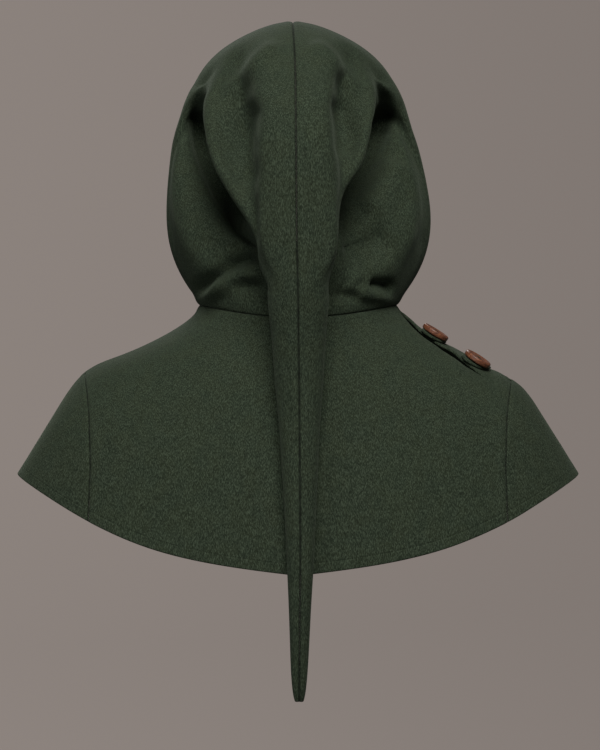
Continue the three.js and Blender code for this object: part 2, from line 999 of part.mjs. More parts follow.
function columnAngles(side, end, centre, line) {
  const way = Math.sign(centre - 90);
  const edges = goreEdges(Math.max(line, APEX_LINE));
  const eased = APEX_SPREAD * Math.min(1, line / APEX_LINE) ** 2;
  const outer = Math.max(Math.abs((way > 0 ? edges.front : edges.back) - 90), eased);
  let first = 90 + way * (line > APEX_LINE ? outer : eased);
  const slitted = side < 0 && line <= APEX_LINE;
  if (slitted && way < 0) first = Math.min(first, partingAngle(side, Math.min(line, SLIT_END_LINE)));
  const inner = spread(first, centre, CAPE_ANGLE_STEPS).slice(1);
  const overRidge = side < 0 && way > 0 ? [(end + inner[0]) / 2] : [];
  return [end, ...overRidge, ...inner];
}

function capeHalf(side) {
  const lines = [...UPPER_LINES, ...LOWER_LINES];
  const patchOf = (centre) =>
    lines.map((line) => {
      const way = Math.sign(centre - 90);
      const edges = goreEdges(line);
      const parting = partingAngle(side, line);
      const slit = parting + way * slitHalfGap(side, line, parting);
      const end = line <= APEX_LINE ? slit : way > 0 ? edges.front : edges.back;
      return columnAngles(side, end, centre, line).map((degrees) =>
        capeCorner(side, degrees, line),
      );
    });
  const back = patchOf(0).map((line) => [...line].reverse());
  const front = patchOf(180);
  return thicken(side < 0 ? [back, front] : [turned(back), turned(front)]);
}

const GORE_STEPS = 12;

function gore(side) {
  const patch = LOWER_LINES.map((line) => {
    const edges = goreEdges(line);
    return spread(edges.back, edges.front, GORE_STEPS).map((degrees) =>
      capeCorner(side, degrees, line),
    );
  });
  return thicken([side < 0 ? patch : turned(patch)]);
}

// The line on the shoulder that is a given distance out, at one angle.
function lineAt(x, degrees) {
  let low = 0;
  let high = APEX_LINE;
  for (let i = 0; i < 40; i++) {
    const middle = (low + high) / 2;
    if (capePoint(1, degrees, middle).x < x) low = middle;
    else high = middle;
  }
  return (low + high) / 2;
}

const TAB_LIFT = CLOTH + SEAM_GAP;
const TAB_LONG_STEPS = 12;
const TAB_WIDE_STEPS = 6;

// A tongue of cloth that comes from the front panel and rounds off over the slit.
function tab(button) {
  const angle = button.angle;
  const middle = lineAt(button.x, angle);
  const above = capePoint(-1, angle, middle - 0.5);
  const perLine = above.distanceTo(capePoint(-1, angle, middle + 0.5));
  const here = capePoint(-1, angle, middle);
  const perDegree = here.distanceTo(capePoint(-1, angle + 1, middle));
  const reach = button.tabBack + button.tabFront;
  const patch = spread(-button.tabFront, button.tabBack, TAB_LONG_STEPS).map((along) => {
    const past = Math.max(0, along - (button.tabBack - TAB_HALF_WIDTH));
    const round = Math.sqrt(Math.max(0, TAB_HALF_WIDTH ** 2 - past ** 2));
    const half = Math.max(round, 0.12 * reach);
    return spread(-half, half, TAB_WIDE_STEPS).map((wide) => {
      const degrees = angle - along / perDegree;
      const line = middle + wide / perLine;
      const normal = capeNormal(-1, degrees, line);
      return corner(capePoint(-1, degrees, line).addScaledVector(normal, TAB_LIFT), normal);
    });
  });
  return thicken([patch]);
}

const BUTTON_SIDES = 24;
const HOLE_SIDES = 8;

// A turned wooden disc with a rounded rim, a shallow dish and two holes.
function disc() {
  const half = BUTTON_THICK / 2;
  const profile = [
    [0, -half],
    [BUTTON_RADIUS - BUTTON_EDGE, -half],
    [BUTTON_RADIUS - BUTTON_EDGE * 0.3, -half + BUTTON_EDGE * 0.3],
    [BUTTON_RADIUS, -half + BUTTON_EDGE],
    [BUTTON_RADIUS, half - BUTTON_EDGE],
    [BUTTON_RADIUS - BUTTON_EDGE * 0.3, half - BUTTON_EDGE * 0.3],
    [BUTTON_RADIUS - BUTTON_EDGE, half],
    [BUTTON_RADIUS - BUTTON_EDGE * 2, half],
    [BUTTON_RADIUS - BUTTON_EDGE * 3, half - BUTTON_DISH],
    [0, half - BUTTON_DISH],
  ];
  const body = wasm.Manifold.revolve([profile], BUTTON_SIDES);
  const drills = [HOLE_OFFSET, -HOLE_OFFSET].map((offset) =>
    wasm.Manifold.cylinder(BUTTON_THICK * 2, HOLE_RADIUS, HOLE_RADIUS, HOLE_SIDES, true)
      .translate([offset, 0, 0]),
  );
  const drilled = wasm.Manifold.difference([body, ...drills]);
  const mesh = drilled.getMesh();
  const places = [];
  for (const index of mesh.triVerts) {
    const start = index * mesh.numProp;
    places.push(...mesh.vertProperties.slice(start, start + 3));
  }
  const geometry = new THREE.BufferGeometry();
  geometry.setAttribute("position", new THREE.Float32BufferAttribute(places, 3));
  geometry.computeVertexNormals();
  return geometry;
}

// How far the button's middle is above the cape's middle surface.
const BUTTON_LIFT = TAB_LIFT + CLOTH / 2 + SEAM_GAP + BUTTON_THICK / 2;

function placeButton(mesh, button) {
  const middle = lineAt(button.x, button.angle);
  const point = capePoint(-1, button.angle, middle);
  const normal = capeNormal(-1, button.angle, middle);
  const slope = capePoint(-1, button.angle, middle + 0.3)
    .sub(capePoint(-1, button.angle, middle - 0.3))
    .projectOnPlane(normal)
    .normalize();
  const across = normal.clone().cross(slope);
  mesh.quaternion.setFromRotationMatrix(new THREE.Matrix4().makeBasis(slope, across, normal));
  mesh.position.copy(point.addScaledVector(normal, BUTTON_LIFT));
}

// The assembly

const wool = new THREE.MeshStandardMaterial({ color: 0x2c3a28, roughness: 0.95, metalness: 0 });
const wood = new THREE.MeshStandardMaterial({ color: 0x6e3a24, roughness: 0.5, metalness: 0 });
const group = new THREE.Group();

function add(name, geometry, material) {
  const mesh = new THREE.Mesh(geometry, material);
  mesh.name = name;
  group.add(mesh);
  return mesh;
}

for (const { name, side } of [
  { name: "left", side: 1 },
  { name: "right", side: -1 },
]) {
  const half = (side * SEAM_GAP) / 2;
  add(`hood_${name}`, hoodHalf(side), wool).position.set(half, 0, 0);
  add(`cape_${name}`, capeHalf(side), wool).position.set(half, 0, -SEAM_GAP);
  add(`gore_${name}`, gore(side), wool).position.set(half + side * SEAM_GAP * 1.5, 0, -SEAM_GAP);
}

for (const button of BUTTONS) {
  add(`button_tab_${button.name}`, tab(button), wool).position.set(-SEAM_GAP / 2, 0, -SEAM_GAP);
  const mesh = add(`button_${button.name}`, disc(), wood);
  placeButton(mesh, button);
}

export default group;
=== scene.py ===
"""A hood of thick felted wool whose crown runs out into a long hanging tail, sewn to a
shoulder cape with a gore at each shoulder and a slit closed by two wooden buttons."""

import math

import bmesh
import bpy
import numpy as np
from mathutils import Matrix, Vector, kdtree


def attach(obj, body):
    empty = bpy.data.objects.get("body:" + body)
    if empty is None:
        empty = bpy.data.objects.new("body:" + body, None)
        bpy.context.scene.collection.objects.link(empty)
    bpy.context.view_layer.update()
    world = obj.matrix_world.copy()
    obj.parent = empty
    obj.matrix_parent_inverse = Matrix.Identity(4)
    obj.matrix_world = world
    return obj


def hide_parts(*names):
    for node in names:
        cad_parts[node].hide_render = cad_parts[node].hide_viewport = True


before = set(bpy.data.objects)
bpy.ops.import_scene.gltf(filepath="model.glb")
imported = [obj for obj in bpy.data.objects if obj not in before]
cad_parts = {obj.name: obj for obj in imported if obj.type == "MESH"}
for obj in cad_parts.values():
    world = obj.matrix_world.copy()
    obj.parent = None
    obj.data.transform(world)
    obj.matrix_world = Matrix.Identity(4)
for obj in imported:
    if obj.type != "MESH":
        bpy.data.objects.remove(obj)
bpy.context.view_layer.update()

# Named sizes, in millimetres, with z up, the face towards -y and the wearer's left at +x
MM = 0.001
CLOTH = 2.4
SEAM_GAP = 0.3
NECK_HALF_WIDTH = 90
NECK_DEPTH = 91.5
NECK_SHIFT = -3.5
NECK_SIDE_Z = -258
NECK_BACK_DROP = 13
NECK_FRONT_DROP = 42
HEM_HALF_WIDTH = 257
HEM_BACK = 129
HEM_FRONT = 125
HEM_SIDE_Z = -413.5
HEM_BACK_DROP = 83.4
HEM_BACK_POWER = 1.07
HEM_FRONT_DROP = 70
LEFT, RIGHT = 1, -1

# The hood's rows round the neck and the cape's rows are this many degrees apart.
ROW_ANGLE = 30

# The hood's sections from the face edge to the root of the tail, on the left side.
# Each runs from the centre seam through ridge, valley, rim, tuck, hollow, billow,
# flank and low to its end, which lies on the neck seam where the neck angle is given.
SECTIONS = {
    "face edge": [
        (0, -88, -20), (30, -90, -25), (55, -91, -43), (72, -91, -68), (82, -91, -100),
        (86, -92, -138), (82, -95, -180), (64, -102, -212), (36, -108, -232), (0, -112, -240),
    ],
    "temple": [
        (2, -58, -6), (36, -60, -13), (66, -61, -34), (86, -62, -64), (98, -62, -98),
        (104, -63, -138), (102, -67, -180), (86, -80, -222), (47, -102, -250), (0, -107, -268),
    ],
    "throat": [
        (3.5, -30, -0.5), (40, -31, -10), (73, -31, -32), (94, -32, -64), (103, -32, -88),
        (109, -33, -112), (113, -34, -143), (109, -41, -197), (75, -71, -249), 180,
    ],
    "top of crown": [
        (4.5, -2, 1.2), (40, -2, -9), (75, -2, -32), (95.5, -2, -62), (103, -3, -81),
        (108.5, -3, -99), (113.5, -4, -122), (119, -8, -172), (105, -28, -229), 150,
    ],
    "behind the ear": [
        (4.8, 28, -2.6), (40, 29, -14), (70, 29, -35), (88, 23, -59), (96, 15, -74),
        (101, 9, -91), (108, 7, -114), (117, 4, -166), (109, -8, -226), 120,
    ],
    "back of crown": [
        (4.5, 58, -9), (38, 60, -20), (58, 57, -36), (73, 56, -54), (82, 35, -66),
        (87, 6, -90), (103, 13, -112), (114, 17, -160), (108, 9, -219), 90,
    ],
    "high on the back": [
        (3.8, 88, -24), (34, 90, -33), (49, 77, -50), (74, 79, -77), (74, 50, -85),
        (80, 12, -114), (98, 23, -133), (111, 30, -174), (99, 33, -225), 60,
    ],
    "shoulder of the funnel": [
        (2.6, 116, -47), (32, 116, -56), (46, 90, -75), (73, 97, -102), (67, 65, -112),
        (69, 26, -144), (89, 35, -156), (99, 46, -190), (79, 60, -231), 30,
    ],
    "nape": [
        (2, 138, -80), (31, 136, -88), (43, 96, -106), (68, 109, -131), (60, 80, -141),
        (57, 40, -172), (73, 50, -184), (70, 62, -208), (43, 76, -240), 0,
    ],
    "wide funnel": [
        (1.7, 150, -112), (31, 147, -119), (40, 112, -135), (54, 117, -161), (48, 96, -170),
        (44, 64, -195), (46, 71, -205), (33, 86, -216), (17, 92, -231), (0, 91, -246),
    ],
    "narrow funnel": [
        (1.5, 155, -148), (30, 150, -153), (34, 129, -168), (38, 124, -190), (35, 108, -195),
        (31, 92, -206), (25, 95, -212), (17, 99, -217), (8, 99, -222), (0, 98, -225),
    ],
    "fork of the tail": [
        (1.2, 156, -182), (29, 151, -185), (32, 141, -193), (34, 127, -212), (29, 115, -213),
        (21, 109, -208), (14, 107, -207), (9.5, 106, -206), (5, 106, -206), (0, 106, -206),
    ],
    "root of the tail": [
        (0.8, 155, -214), (26, 150, -216), (30, 142, -220), (31.5, 130, -231), (26, 119, -231),
        (18, 115, -229), (12, 113, -228), (7, 112.5, -228), (3.5, 112, -228), (0, 112, -228),
    ],
}

# Where the right side differs, from the valley on: its funnel gathers in sooner.
RIGHT_SIDE = {
    "top of crown": [
        (75, -2, -32), (95.5, -2, -62), (103, -3, -81), (108.5, -3, -99),
        (115, -4, -122), (120.5, -8, -172),
    ],
    "behind the ear": [
        (70, 29, -35), (88, 23, -59), (95, 15, -74), (100, 8, -92), (108, 5, -116), (119, 3, -166),
    ],
    "back of crown": [(56, 58, -34), (67.5, 56, -52), (76, 37, -62), (81, 4, -83), (100, 13, -110)],
    "high on the back": [
        (46, 77, -49), (66.5, 78, -71), (66, 50, -79), (74, 12, -103), (97, 24, -131), (112, 31, -173),
    ],
    "shoulder of the funnel": [
        (40, 92, -72), (65.5, 95, -93), (59, 65, -102), (64, 23, -126), (88, 34, -152), (100, 47, -190),
    ],
    "nape": [
        (38, 101, -100), (61, 108, -117), (52, 81, -126), (53, 38, -151), (73, 50, -175), (71, 63, -206),
    ],
    "wide funnel": [
        (37, 118, -128), (51, 117, -140), (44, 97, -149), (40, 60, -175), (44, 71, -197), (32, 86, -214),
    ],
    "narrow funnel": [
        (36, 133, -156), (38, 126, -168), (33, 110, -174), (28, 90, -192), (23, 95, -206),
    ],
    "fork of the tail": [
        (32, 142, -187), (34, 129, -194), (29, 116, -197), (20, 109, -202), (13, 107, -204),
    ],
    "root of the tail": [(30, 142, -220), (30, 131, -223), (26, 119, -225)],
}
VALLEY = 2

# Height, and how far the worn hood leans to the wearer's left there. The centre seam's
# points have their own lean already, and those beside it take a share of this one.
LEAN = [(-262, 0), (-215, -0.9), (-160, 1), (-110, 3.6), (-50, 3.4), (0, 4.6)]
LEAN_REACH = 30

# The tail's sections: height, middle across and back, half width and half depth.
TAIL = [
    (-252, -0.2, 134, 25.2, 19.5),
    (-288, -0.6, 131, 22.6, 17.3),
    (-326, -1, 130, 20, 15.3),
    (-364, -1.3, 132, 16.8, 13.3),
    (-404, -1.7, 136, 14.5, 11.4),
    (-442, -2, 140, 12.4, 9.8),
    (-480, -2.1, 142.5, 10.7, 8.5),
    (-516, -1.8, 143.5, 8.8, 7.4),
    (-550, -1.5, 143, 7.3, 6.4),
    (-578, -1.2, 142, 5.9, 5.4),
    (-596, -1.1, 141.5, 4, 3.9),
    (-604.5, -1.1, 141, 2.2, 2.2),
]

# A fold keeps to one zone of the cloth: from which point of the sections to which.
ZONES = {"crown": (-1, 3.4), "edge": (2.2, 5.2), "under": (3.6, 7.2), "low": (4.3, 12)}
ZONE_FADE = 0.8

# The grooves under the funnel's rims: how far out, and the height.
LEFT_GROOVE = [(90, -68), (90, -90), (86, -108), (78, -131), (67, -154), (51, -177), (40, -194)]
RIGHT_GROOVE = [(77, -72), (76, -88), (71, -105), (64, -122), (54, -139), (46, -154), (38, -170)]

# Folds on the back: zone, side, half width, lift, and the path of x and z. A fold fades
# in and out over a share of its path.
FOLD_FADE = 0.22
FOLDS = [
    # The neck roll on the left, the crevice over it and the dent under it
    ("low", LEFT, 6.5, 6.5, [(91, -262), (84, -256), (75, -247), (60, -236), (47, -231), (26, -231)]),
    ("low", LEFT, 6.5, -10, [(96, -252), (86, -244), (76, -236), (61, -226), (46, -220), (26, -219)]),
    ("low", LEFT, 4.5, -4, [(58, -245), (44, -242), (26, -244)]),
    # The neck roll on the right, its pocket, the dent under it and the hollow over it
    (
        "low", RIGHT, 5.5, 5.5,
        [(92, -262), (84, -257), (72, -253), (57, -250), (47, -244), (50, -235), (62, -231)],
    ),
    ("low", RIGHT, 6, -9, [(87, -245), (79, -243), (70, -242), (62, -241)]),
    ("low", RIGHT, 6, -4, [(56, -253), (44, -252), (30, -251)]),
    ("low", RIGHT, 16, -10, [(86, -194), (72, -200), (54, -206), (36, -206)]),
    # The crease down the right side
    ("low", RIGHT, 4.5, -2.2, [(86, -58), (96, -96), (110, -152), (110, -200), (90, -254)]),
    # The furrow outside the top end of each rim of the funnel
    ("edge", LEFT, 7, -4, [(68, -26), (77, -40), (85, -54), (91, -66)]),
    ("edge", RIGHT, 7, -4, [(56, -22), (67, -36), (75, -52), (80, -64)]),
    # The left rim and the groove under it
    (
        "edge", LEFT, 5.5, 3.5,
        [(66, -50), (78, -80), (79, -110), (73, -134), (64, -152), (47, -180), (38, -196), (32, -226)],
    ),
    ("under", LEFT, 9, -11, LEFT_GROOVE),
    ("low", LEFT, 9, -11, LEFT_GROOVE),
    # The right rim, the groove under it and the swell beside the groove
    ("edge", RIGHT, 5.5, 3.5, [(56, -46), (66, -72), (67, -100), (62, -122), (50, -142), (38, -162)]),
    ("under", RIGHT, 9, -10, RIGHT_GROOVE),
    ("low", RIGHT, 9, -12, RIGHT_GROOVE),
    ("low", RIGHT, 13, 9, [(94, -124), (88, -140), (79, -155), (68, -170), (58, -180)]),
    # The ridge and the furrow on each side of the crown
    ("crown", LEFT, 8, 4.5, [(14, -28), (32, -46), (50, -63), (66, -80)]),
    ("crown", LEFT, 10, -5.5, [(36, -78), (39, -94), (43, -112), (45, -134), (42, -166)]),
    ("crown", RIGHT, 7.5, 4.5, [(8, -28), (24, -42), (40, -58), (54, -76)]),
    ("crown", RIGHT, 10, -5, [(36, -76), (40, -94), (44, -112), (42, -136)]),
]

# The cape between neck and hem, in rows round from the back: the share of the way out
# on each of its lines, and the height there.
CAPE = [
    ((0.08, 0.3, 0.5, 0.68, 0.82, 0.93), (-285, -315, -348, -385, -422, -460)),
    ((0.06, 0.22, 0.42, 0.6, 0.77, 0.9), (-281, -301, -328, -360, -396, -436)),
    ((0.05, 0.2, 0.42, 0.62, 0.79, 0.91), (-273.5, -289, -308, -329, -356, -391)),
    ((0.042, 0.2, 0.43, 0.635, 0.79, 0.915), (-270, -287.5, -305, -321.5, -357, -391)),
    ((0.05, 0.2, 0.42, 0.62, 0.79, 0.91), (-280, -293, -311, -331, -357, -391)),
    ((0.07, 0.25, 0.45, 0.63, 0.79, 0.91), (-301, -319, -343, -371, -403, -436)),
    ((0.1, 0.35, 0.55, 0.72, 0.85, 0.94), (-312, -338, -365, -394, -425, -456)),
]
HEM_LINE = 7

# The right shoulder's ridge lies lower than the left one's: how far out, and how much.
SAG = [
    (90, 0), (97, -3.1), (104, -3.3), (117, -1.8), (137, 0.2), (154, 2), (165, 5),
    (176, 7.2), (193, 7.1), (206, 2.8), (214, 1.2), (240, 0),
]
SAG_REACH = 55

# Each button presses the shoulder in: how far out and back it is, and how deep.
PRESSED = [(122, 18, 2.5), (159.7, 32, 3.5)]
PRESS_ACROSS = 16
PRESS_ALONG = 24

# Each gore runs from its apex on the shoulder to the hem: the line, and how much nearer
# the middle than the apex its seams lie there.
APEX_LINE = 4
APEX_ANGLE = 82
APEX_SPREAD = 17
GORE_SEAM = [(4, 0), (4.5, 4.5), (5, 7.5), (6, 10), (7, 8.7)]

# The slit on the right shoulder, by line out from the neck: half its gap, the angle at
# which it parts back from front, and how far its back edge sinks below its front edge.
SLIT_END_LINE = 3.8
SLIT = [(0, 0.5), (0.8, 1.2), (1.5, 2.2), (2.1, 1), (2.7, 1.3), (3.2, 0.7), (3.8, 0)]
PARTING = [(0, 90), (0.5, 86.5), (1, 81), (1.9, 73.5), (2.8, 68), (3.4, 66), (3.8, 65), (4, 82)]
SLIT_DROP = [(0.6, 0), (1, 2.2), (1.5, 4.5), (2, 4), (2.6, 5.5), (3.2, 3), (3.8, 0)]
SLIT_DROP_REACH = 16
PARTING_FADE = 1.2


def look_up(rows, at):
    """A value between the rows of a two-column table."""
    return np.interp(at, *zip(*rows))


def ramp(value):
    """A smooth step from 0 to 1."""
    held = np.clip(value, 0, 1)
    return held * held * (3 - 2 * held)


def neck_point(angle):
    """The seam between hood and cape, by the angle round the neck from the back."""
    across, back = np.sin(angle), np.cos(angle)
    drop = np.where(back > 0, NECK_BACK_DROP, NECK_FRONT_DROP)
    height = NECK_SIDE_Z - drop * back * back
    return np.stack([NECK_HALF_WIDTH * across, NECK_SHIFT + NECK_DEPTH * back, height], -1)


def hem_point(angle):
    """The cape's lower edge, by the same angle."""
    across, back = np.sin(angle), np.cos(angle)
    reach = np.where(back > 0, HEM_BACK, HEM_FRONT)
    drop = np.where(back > 0, HEM_BACK_DROP, HEM_FRONT_DROP)
    share = (back * back) ** np.where(back > 0, HEM_BACK_POWER, 1)
    return np.stack([HEM_HALF_WIDTH * across, reach * back, HEM_SIDE_Z - drop * share], -1)


class Spline:
    """The weights of a natural cubic spline through a row of points."""

    def __init__(self, count):
        inner = count - 2
        stiffness = 4 * np.eye(inner) + np.eye(inner, k=1) + np.eye(inner, k=-1)
        loads = 6 * (np.eye(inner, count) - 2 * np.eye(inner, count, 1) + np.eye(inner, count, 2))
        self.bends = np.zeros((count, count))
        self.bends[1:-1] = np.linalg.solve(stiffness, loads)
        self.points = np.eye(count)

    def weights(self, at):
        before = np.clip(np.floor(at).astype(int), 0, len(self.bends) - 2)
        ahead = (at - before)[..., None]
        behind = 1 - ahead
        line = behind * self.points[before] + ahead * self.points[before + 1]
        low = (behind**3 - behind) * self.bends[before]
        high = (ahead**3 - ahead) * self.bends[before + 1]
        return line + (low + high) / 6


class Net:
    """A smooth surface through a net of points, rows by columns."""

    def __init__(self, points):
        self.points = np.array(points, float)
        self.down = Spline(self.points.shape[0])
        self.across = Spline(self.points.shape[1])

    def at(self, row, column):
        rows = np.tensordot(self.down.weights(row), self.points, axes=(-1, 0))
        return np.einsum("...c,...cx->...x", self.across.weights(column), rows)


def surface_normals(points, side):
    """The way that each point of a grid faces, with the columns running out from the middle."""
    down = np.gradient(points, axis=0)
    out = np.gradient(points, axis=1)
    normals = side * np.cross(out, down)
    return normals / np.linalg.norm(normals, axis=-1, keepdims=True)


def in_plane(normals):
    """The same directions, turned into the plane of the centre seam."""
    flat = normals * (0, 1, 1)
    return flat / np.linalg.norm(flat, axis=-1, keepdims=True)


# The hood

SEAM_COLUMN = 9
LAST_COLUMN = 2 * SEAM_COLUMN
FIRST_NECK_ROW = 2
LAST_NECK_ROW = 8
LAST_SECTION = len(SECTIONS) - 1
LAST_ROW = LAST_SECTION + len(TAIL)


def hood_points():
    """The hood's net: its sections from edge to edge, and then the tail's rings."""
    rows = []
    for name, cells in SECTIONS.items():
        others = RIGHT_SIDE.get(name, [])
        line = {}
        for side in (LEFT, RIGHT):
            for out in range(1, SEAM_COLUMN + 1):
                cell = cells[out]
                if isinstance(cell, int):
                    point = neck_point(math.radians(cell)) * (side, 1, 1)
                else:
                    if side == RIGHT and 0 <= out - VALLEY < len(others):
                        cell = others[out - VALLEY]
                    lean = look_up(LEAN, cell[2]) * min(1, cell[0] / LEAN_REACH)
                    point = np.array([side * cell[0] + lean, cell[1], cell[2]])
                line[SEAM_COLUMN - side * out] = point
        line[SEAM_COLUMN] = np.array(cells[0], float)
        rows.append([line[column] for column in range(LAST_COLUMN + 1)])
    turn = math.pi * (np.arange(LAST_COLUMN + 1) - SEAM_COLUMN) / SEAM_COLUMN
    for z, x, y, half_width, half_depth in TAIL:
        ring = [x - half_width * np.sin(turn), y + half_depth * np.cos(turn), z + 0 * turn]
        rows.append(list(np.stack(ring, -1)))
    return rows


hood = Net(hood_points())

# Towards its lower edge the cloth turns a corner at the throat and at the nape, so each
# stretch between them is a surface of its own there.
CORNERS = (0, FIRST_NECK_ROW, LAST_NECK_ROW, LAST_ROW)
STRETCHES = [
    (first, last, Net(hood.points[first : last + 1])) for first, last in zip(CORNERS, CORNERS[1:])
]
CREASE_FROM = 5.5
CREASE_WIDTH = 2.5


def cornered(row, column):
    """The net's surface, free to turn a corner at the throat and the nape."""
    point = hood.at(row, column)
    share = ramp((abs(column - SEAM_COLUMN) - CREASE_FROM) / CREASE_WIDTH)
    for first, last, net in STRETCHES:
        here = (share > 0) & (row <= last) & ((row > first) | (first == 0))
        if here.any():
            stretch = net.at(row[here] - first, column[here])
            point[here] += share[here][:, None] * (stretch - point[here])
    return point


def neck_angle(row):
    """The angle round the neck from the back, in radians, where a row meets the neck seam."""
    return np.radians(180 - ROW_ANGLE * (row - FIRST_NECK_ROW))


def seated_hood(row, column):
    """That surface with its lower edge drawn onto the neck seam and the middle."""
    point = cornered(row, column)
    side = np.where(column < SEAM_COLUMN, LEFT, RIGHT)
    pull = ramp(abs(column - SEAM_COLUMN) - (SEAM_COLUMN - 1)) * (row <= LAST_SECTION)
    edge = cornered(row, np.where(side == LEFT, 0.0, float(LAST_COLUMN)))
    wanted = edge * (0, 1, 1)
    on_neck = (row >= FIRST_NECK_ROW) & (row <= LAST_NECK_ROW)
    neck = neck_point(neck_angle(row))
    neck[..., 0] *= side
    wanted[on_neck] = neck[on_neck]
    return point + pull[..., None] * (wanted - edge)


def path_distance(points, path):
    """How far points are from a path, and how far along it the nearest place is, 0 to 1."""
    path = np.array(path, float)
    steps = np.diff(path, axis=0)
    lengths = np.linalg.norm(steps, axis=1)
    runs = np.concatenate([[0], np.cumsum(lengths)])
    nearest = np.full(points.shape[:-1], np.inf)
    along = np.zeros(points.shape[:-1])
    for start, step, length, run in zip(path, steps, lengths, runs):
        away = points - start
        share = np.clip((away @ step) / length**2, 0, 1)
        distance = np.linalg.norm(away - share[..., None] * step, axis=-1)
        closer = distance < nearest
        nearest = np.where(closer, distance, nearest)
        along = np.where(closer, (run + share * length) / runs[-1], along)
    return nearest, along


def fold_lift(points, out, side):
    """How far the folds lift the cloth of the back."""
    lift = np.zeros(out.shape)
    for zone, fold_side, width, height, path in FOLDS:
        if fold_side != side:
            continue
        low, high = ZONES[zone]
        gate = ramp((out - low) / ZONE_FADE) * ramp((high - out) / ZONE_FADE)
        nearest, along = path_distance(points[..., [0, 2]], [(side * x, z) for x, z in path])
        fade = ramp(along / FOLD_FADE) * ramp((1 - along) / FOLD_FADE)
        lift += height * gate * fade * np.exp(-((nearest / width) ** 2))
    return lift


# Meshes and objects


def linked(name, data):
    """A new object in the scene."""
    made = bpy.data.objects.new(name, data)
    bpy.context.collection.objects.link(made)
    return made


def smoothed(mesh):
    """The same mesh, shaded smooth."""
    mesh.polygons.foreach_set("use_smooth", [True] * len(mesh.polygons))
    return mesh


def as_mesh(name, shape):
    """The mesh of a finished bmesh."""
    mesh = bpy.data.meshes.new(name)
    shape.to_mesh(mesh)
    shape.free()
    return mesh


def turned(profile, sides, merged):
    """A closed shape turned round the z axis from a profile of reach and height."""
    shape = bmesh.new()
    verts = [shape.verts.new((reach, 0, height)) for reach, height in profile]
    edges = [shape.edges.new(pair) for pair in zip(verts, verts[1:])]
    bmesh.ops.spin(
        shape,
        geom=verts + edges,
        axis=(0, 0, 1),
        cent=(0, 0, 0),
        angle=math.tau,
        steps=sides,
        use_merge=True,
    )
    bmesh.ops.remove_doubles(shape, verts=shape.verts[:], dist=merged)
    bmesh.ops.recalc_face_normals(shape, faces=shape.faces[:])
    return shape


# Closed cloth pieces

# Rows of points lie close at an edge, at these distances in steps of the net. Points
# nearer to each other than the second figure, in millimetres, become one.
CLOSE_ROWS = np.array([0, 0.008, 0.02, 0.04, 0.075, 0.13, 0.2])
MERGED = 0.002

# The cloth rounds off at its edges, dips along a seam and puffs up beside it. Distances
# from a seam or a hem are kept up to the last figure.
EDGE_ROUND = 1.1
EDGE_LEAST = 0.3
SEAM_DIP = 0.75
SEAM_DIP_WIDTH = 1.7
PUFF = 0.35
PUFF_AT = 5.0
PUFF_WIDTH = 3.0
FAR = 40.0

# Sewn pieces don't quite touch: each is moved this far to its side, a gore more.
SEWN_GAP = 0.02
GORE_GAP = SEWN_GAP * 3


def fine_ends(first, last, steps, at_first=True, at_last=True, scale=1.0):
    """Places from first to last, even but for a few close ones near the chosen ends."""
    close = CLOSE_ROWS * scale
    way = 1 if last > first else -1
    length = abs(last - first)
    start = close if at_first else np.array([0.0])
    finish = length - (close if at_last else np.array([0.0]))[::-1]
    middle = np.linspace(start[-1], finish[0], steps + 1)[1:-1]
    return first + way * np.concatenate([start, middle, finish])


def nearest_distance(points, targets):
    """How far each point is from the nearest of the targets."""
    tree = kdtree.KDTree(len(targets))
    for number, target in enumerate(targets):
        tree.insert(target, number)
    tree.balance()
    flat = points.reshape(-1, 3)
    return np.array([tree.find(point)[2] for point in flat]).reshape(points.shape[:-1])


def shell(name, patches):
    """A closed sheet over the patches, its rim, and the number of its outer points."""
    cloth = bmesh.new()
    place = cloth.verts.layers.int.new("place")
    start = 0
    for points, _ in patches:
        rows, columns = points.shape[:2]
        grid = bmesh.ops.create_grid(cloth, x_segments=columns - 1, y_segments=rows - 1, size=0.5)
        for vert in grid["verts"]:
            row = round((vert.co.y + 0.5) * (rows - 1))
            column = round((vert.co.x + 0.5) * (columns - 1))
            vert[place] = start + row * columns + column
            vert.co = points[row, column]
        start += rows * columns
    bmesh.ops.remove_doubles(cloth, verts=cloth.verts[:], dist=MERGED)
    bmesh.ops.recalc_face_normals(cloth, faces=cloth.faces[:])
    rim = [vert.co.copy() for vert in cloth.verts if vert.is_boundary]
    outer_count = len(cloth.verts)
    bmesh.ops.solidify(cloth, geom=cloth.faces[:], thickness=CLOTH)
    return as_mesh(name, cloth), rim, outer_count


def facing_out(mesh):
    """The same closed mesh with its faces pointing out."""
    check = bmesh.new()
    check.from_mesh(mesh)
    if check.calc_volume(signed=True) < 0:
        bmesh.ops.reverse_faces(check, faces=check.faces[:])
    check.to_mesh(mesh)
    check.free()
    return mesh


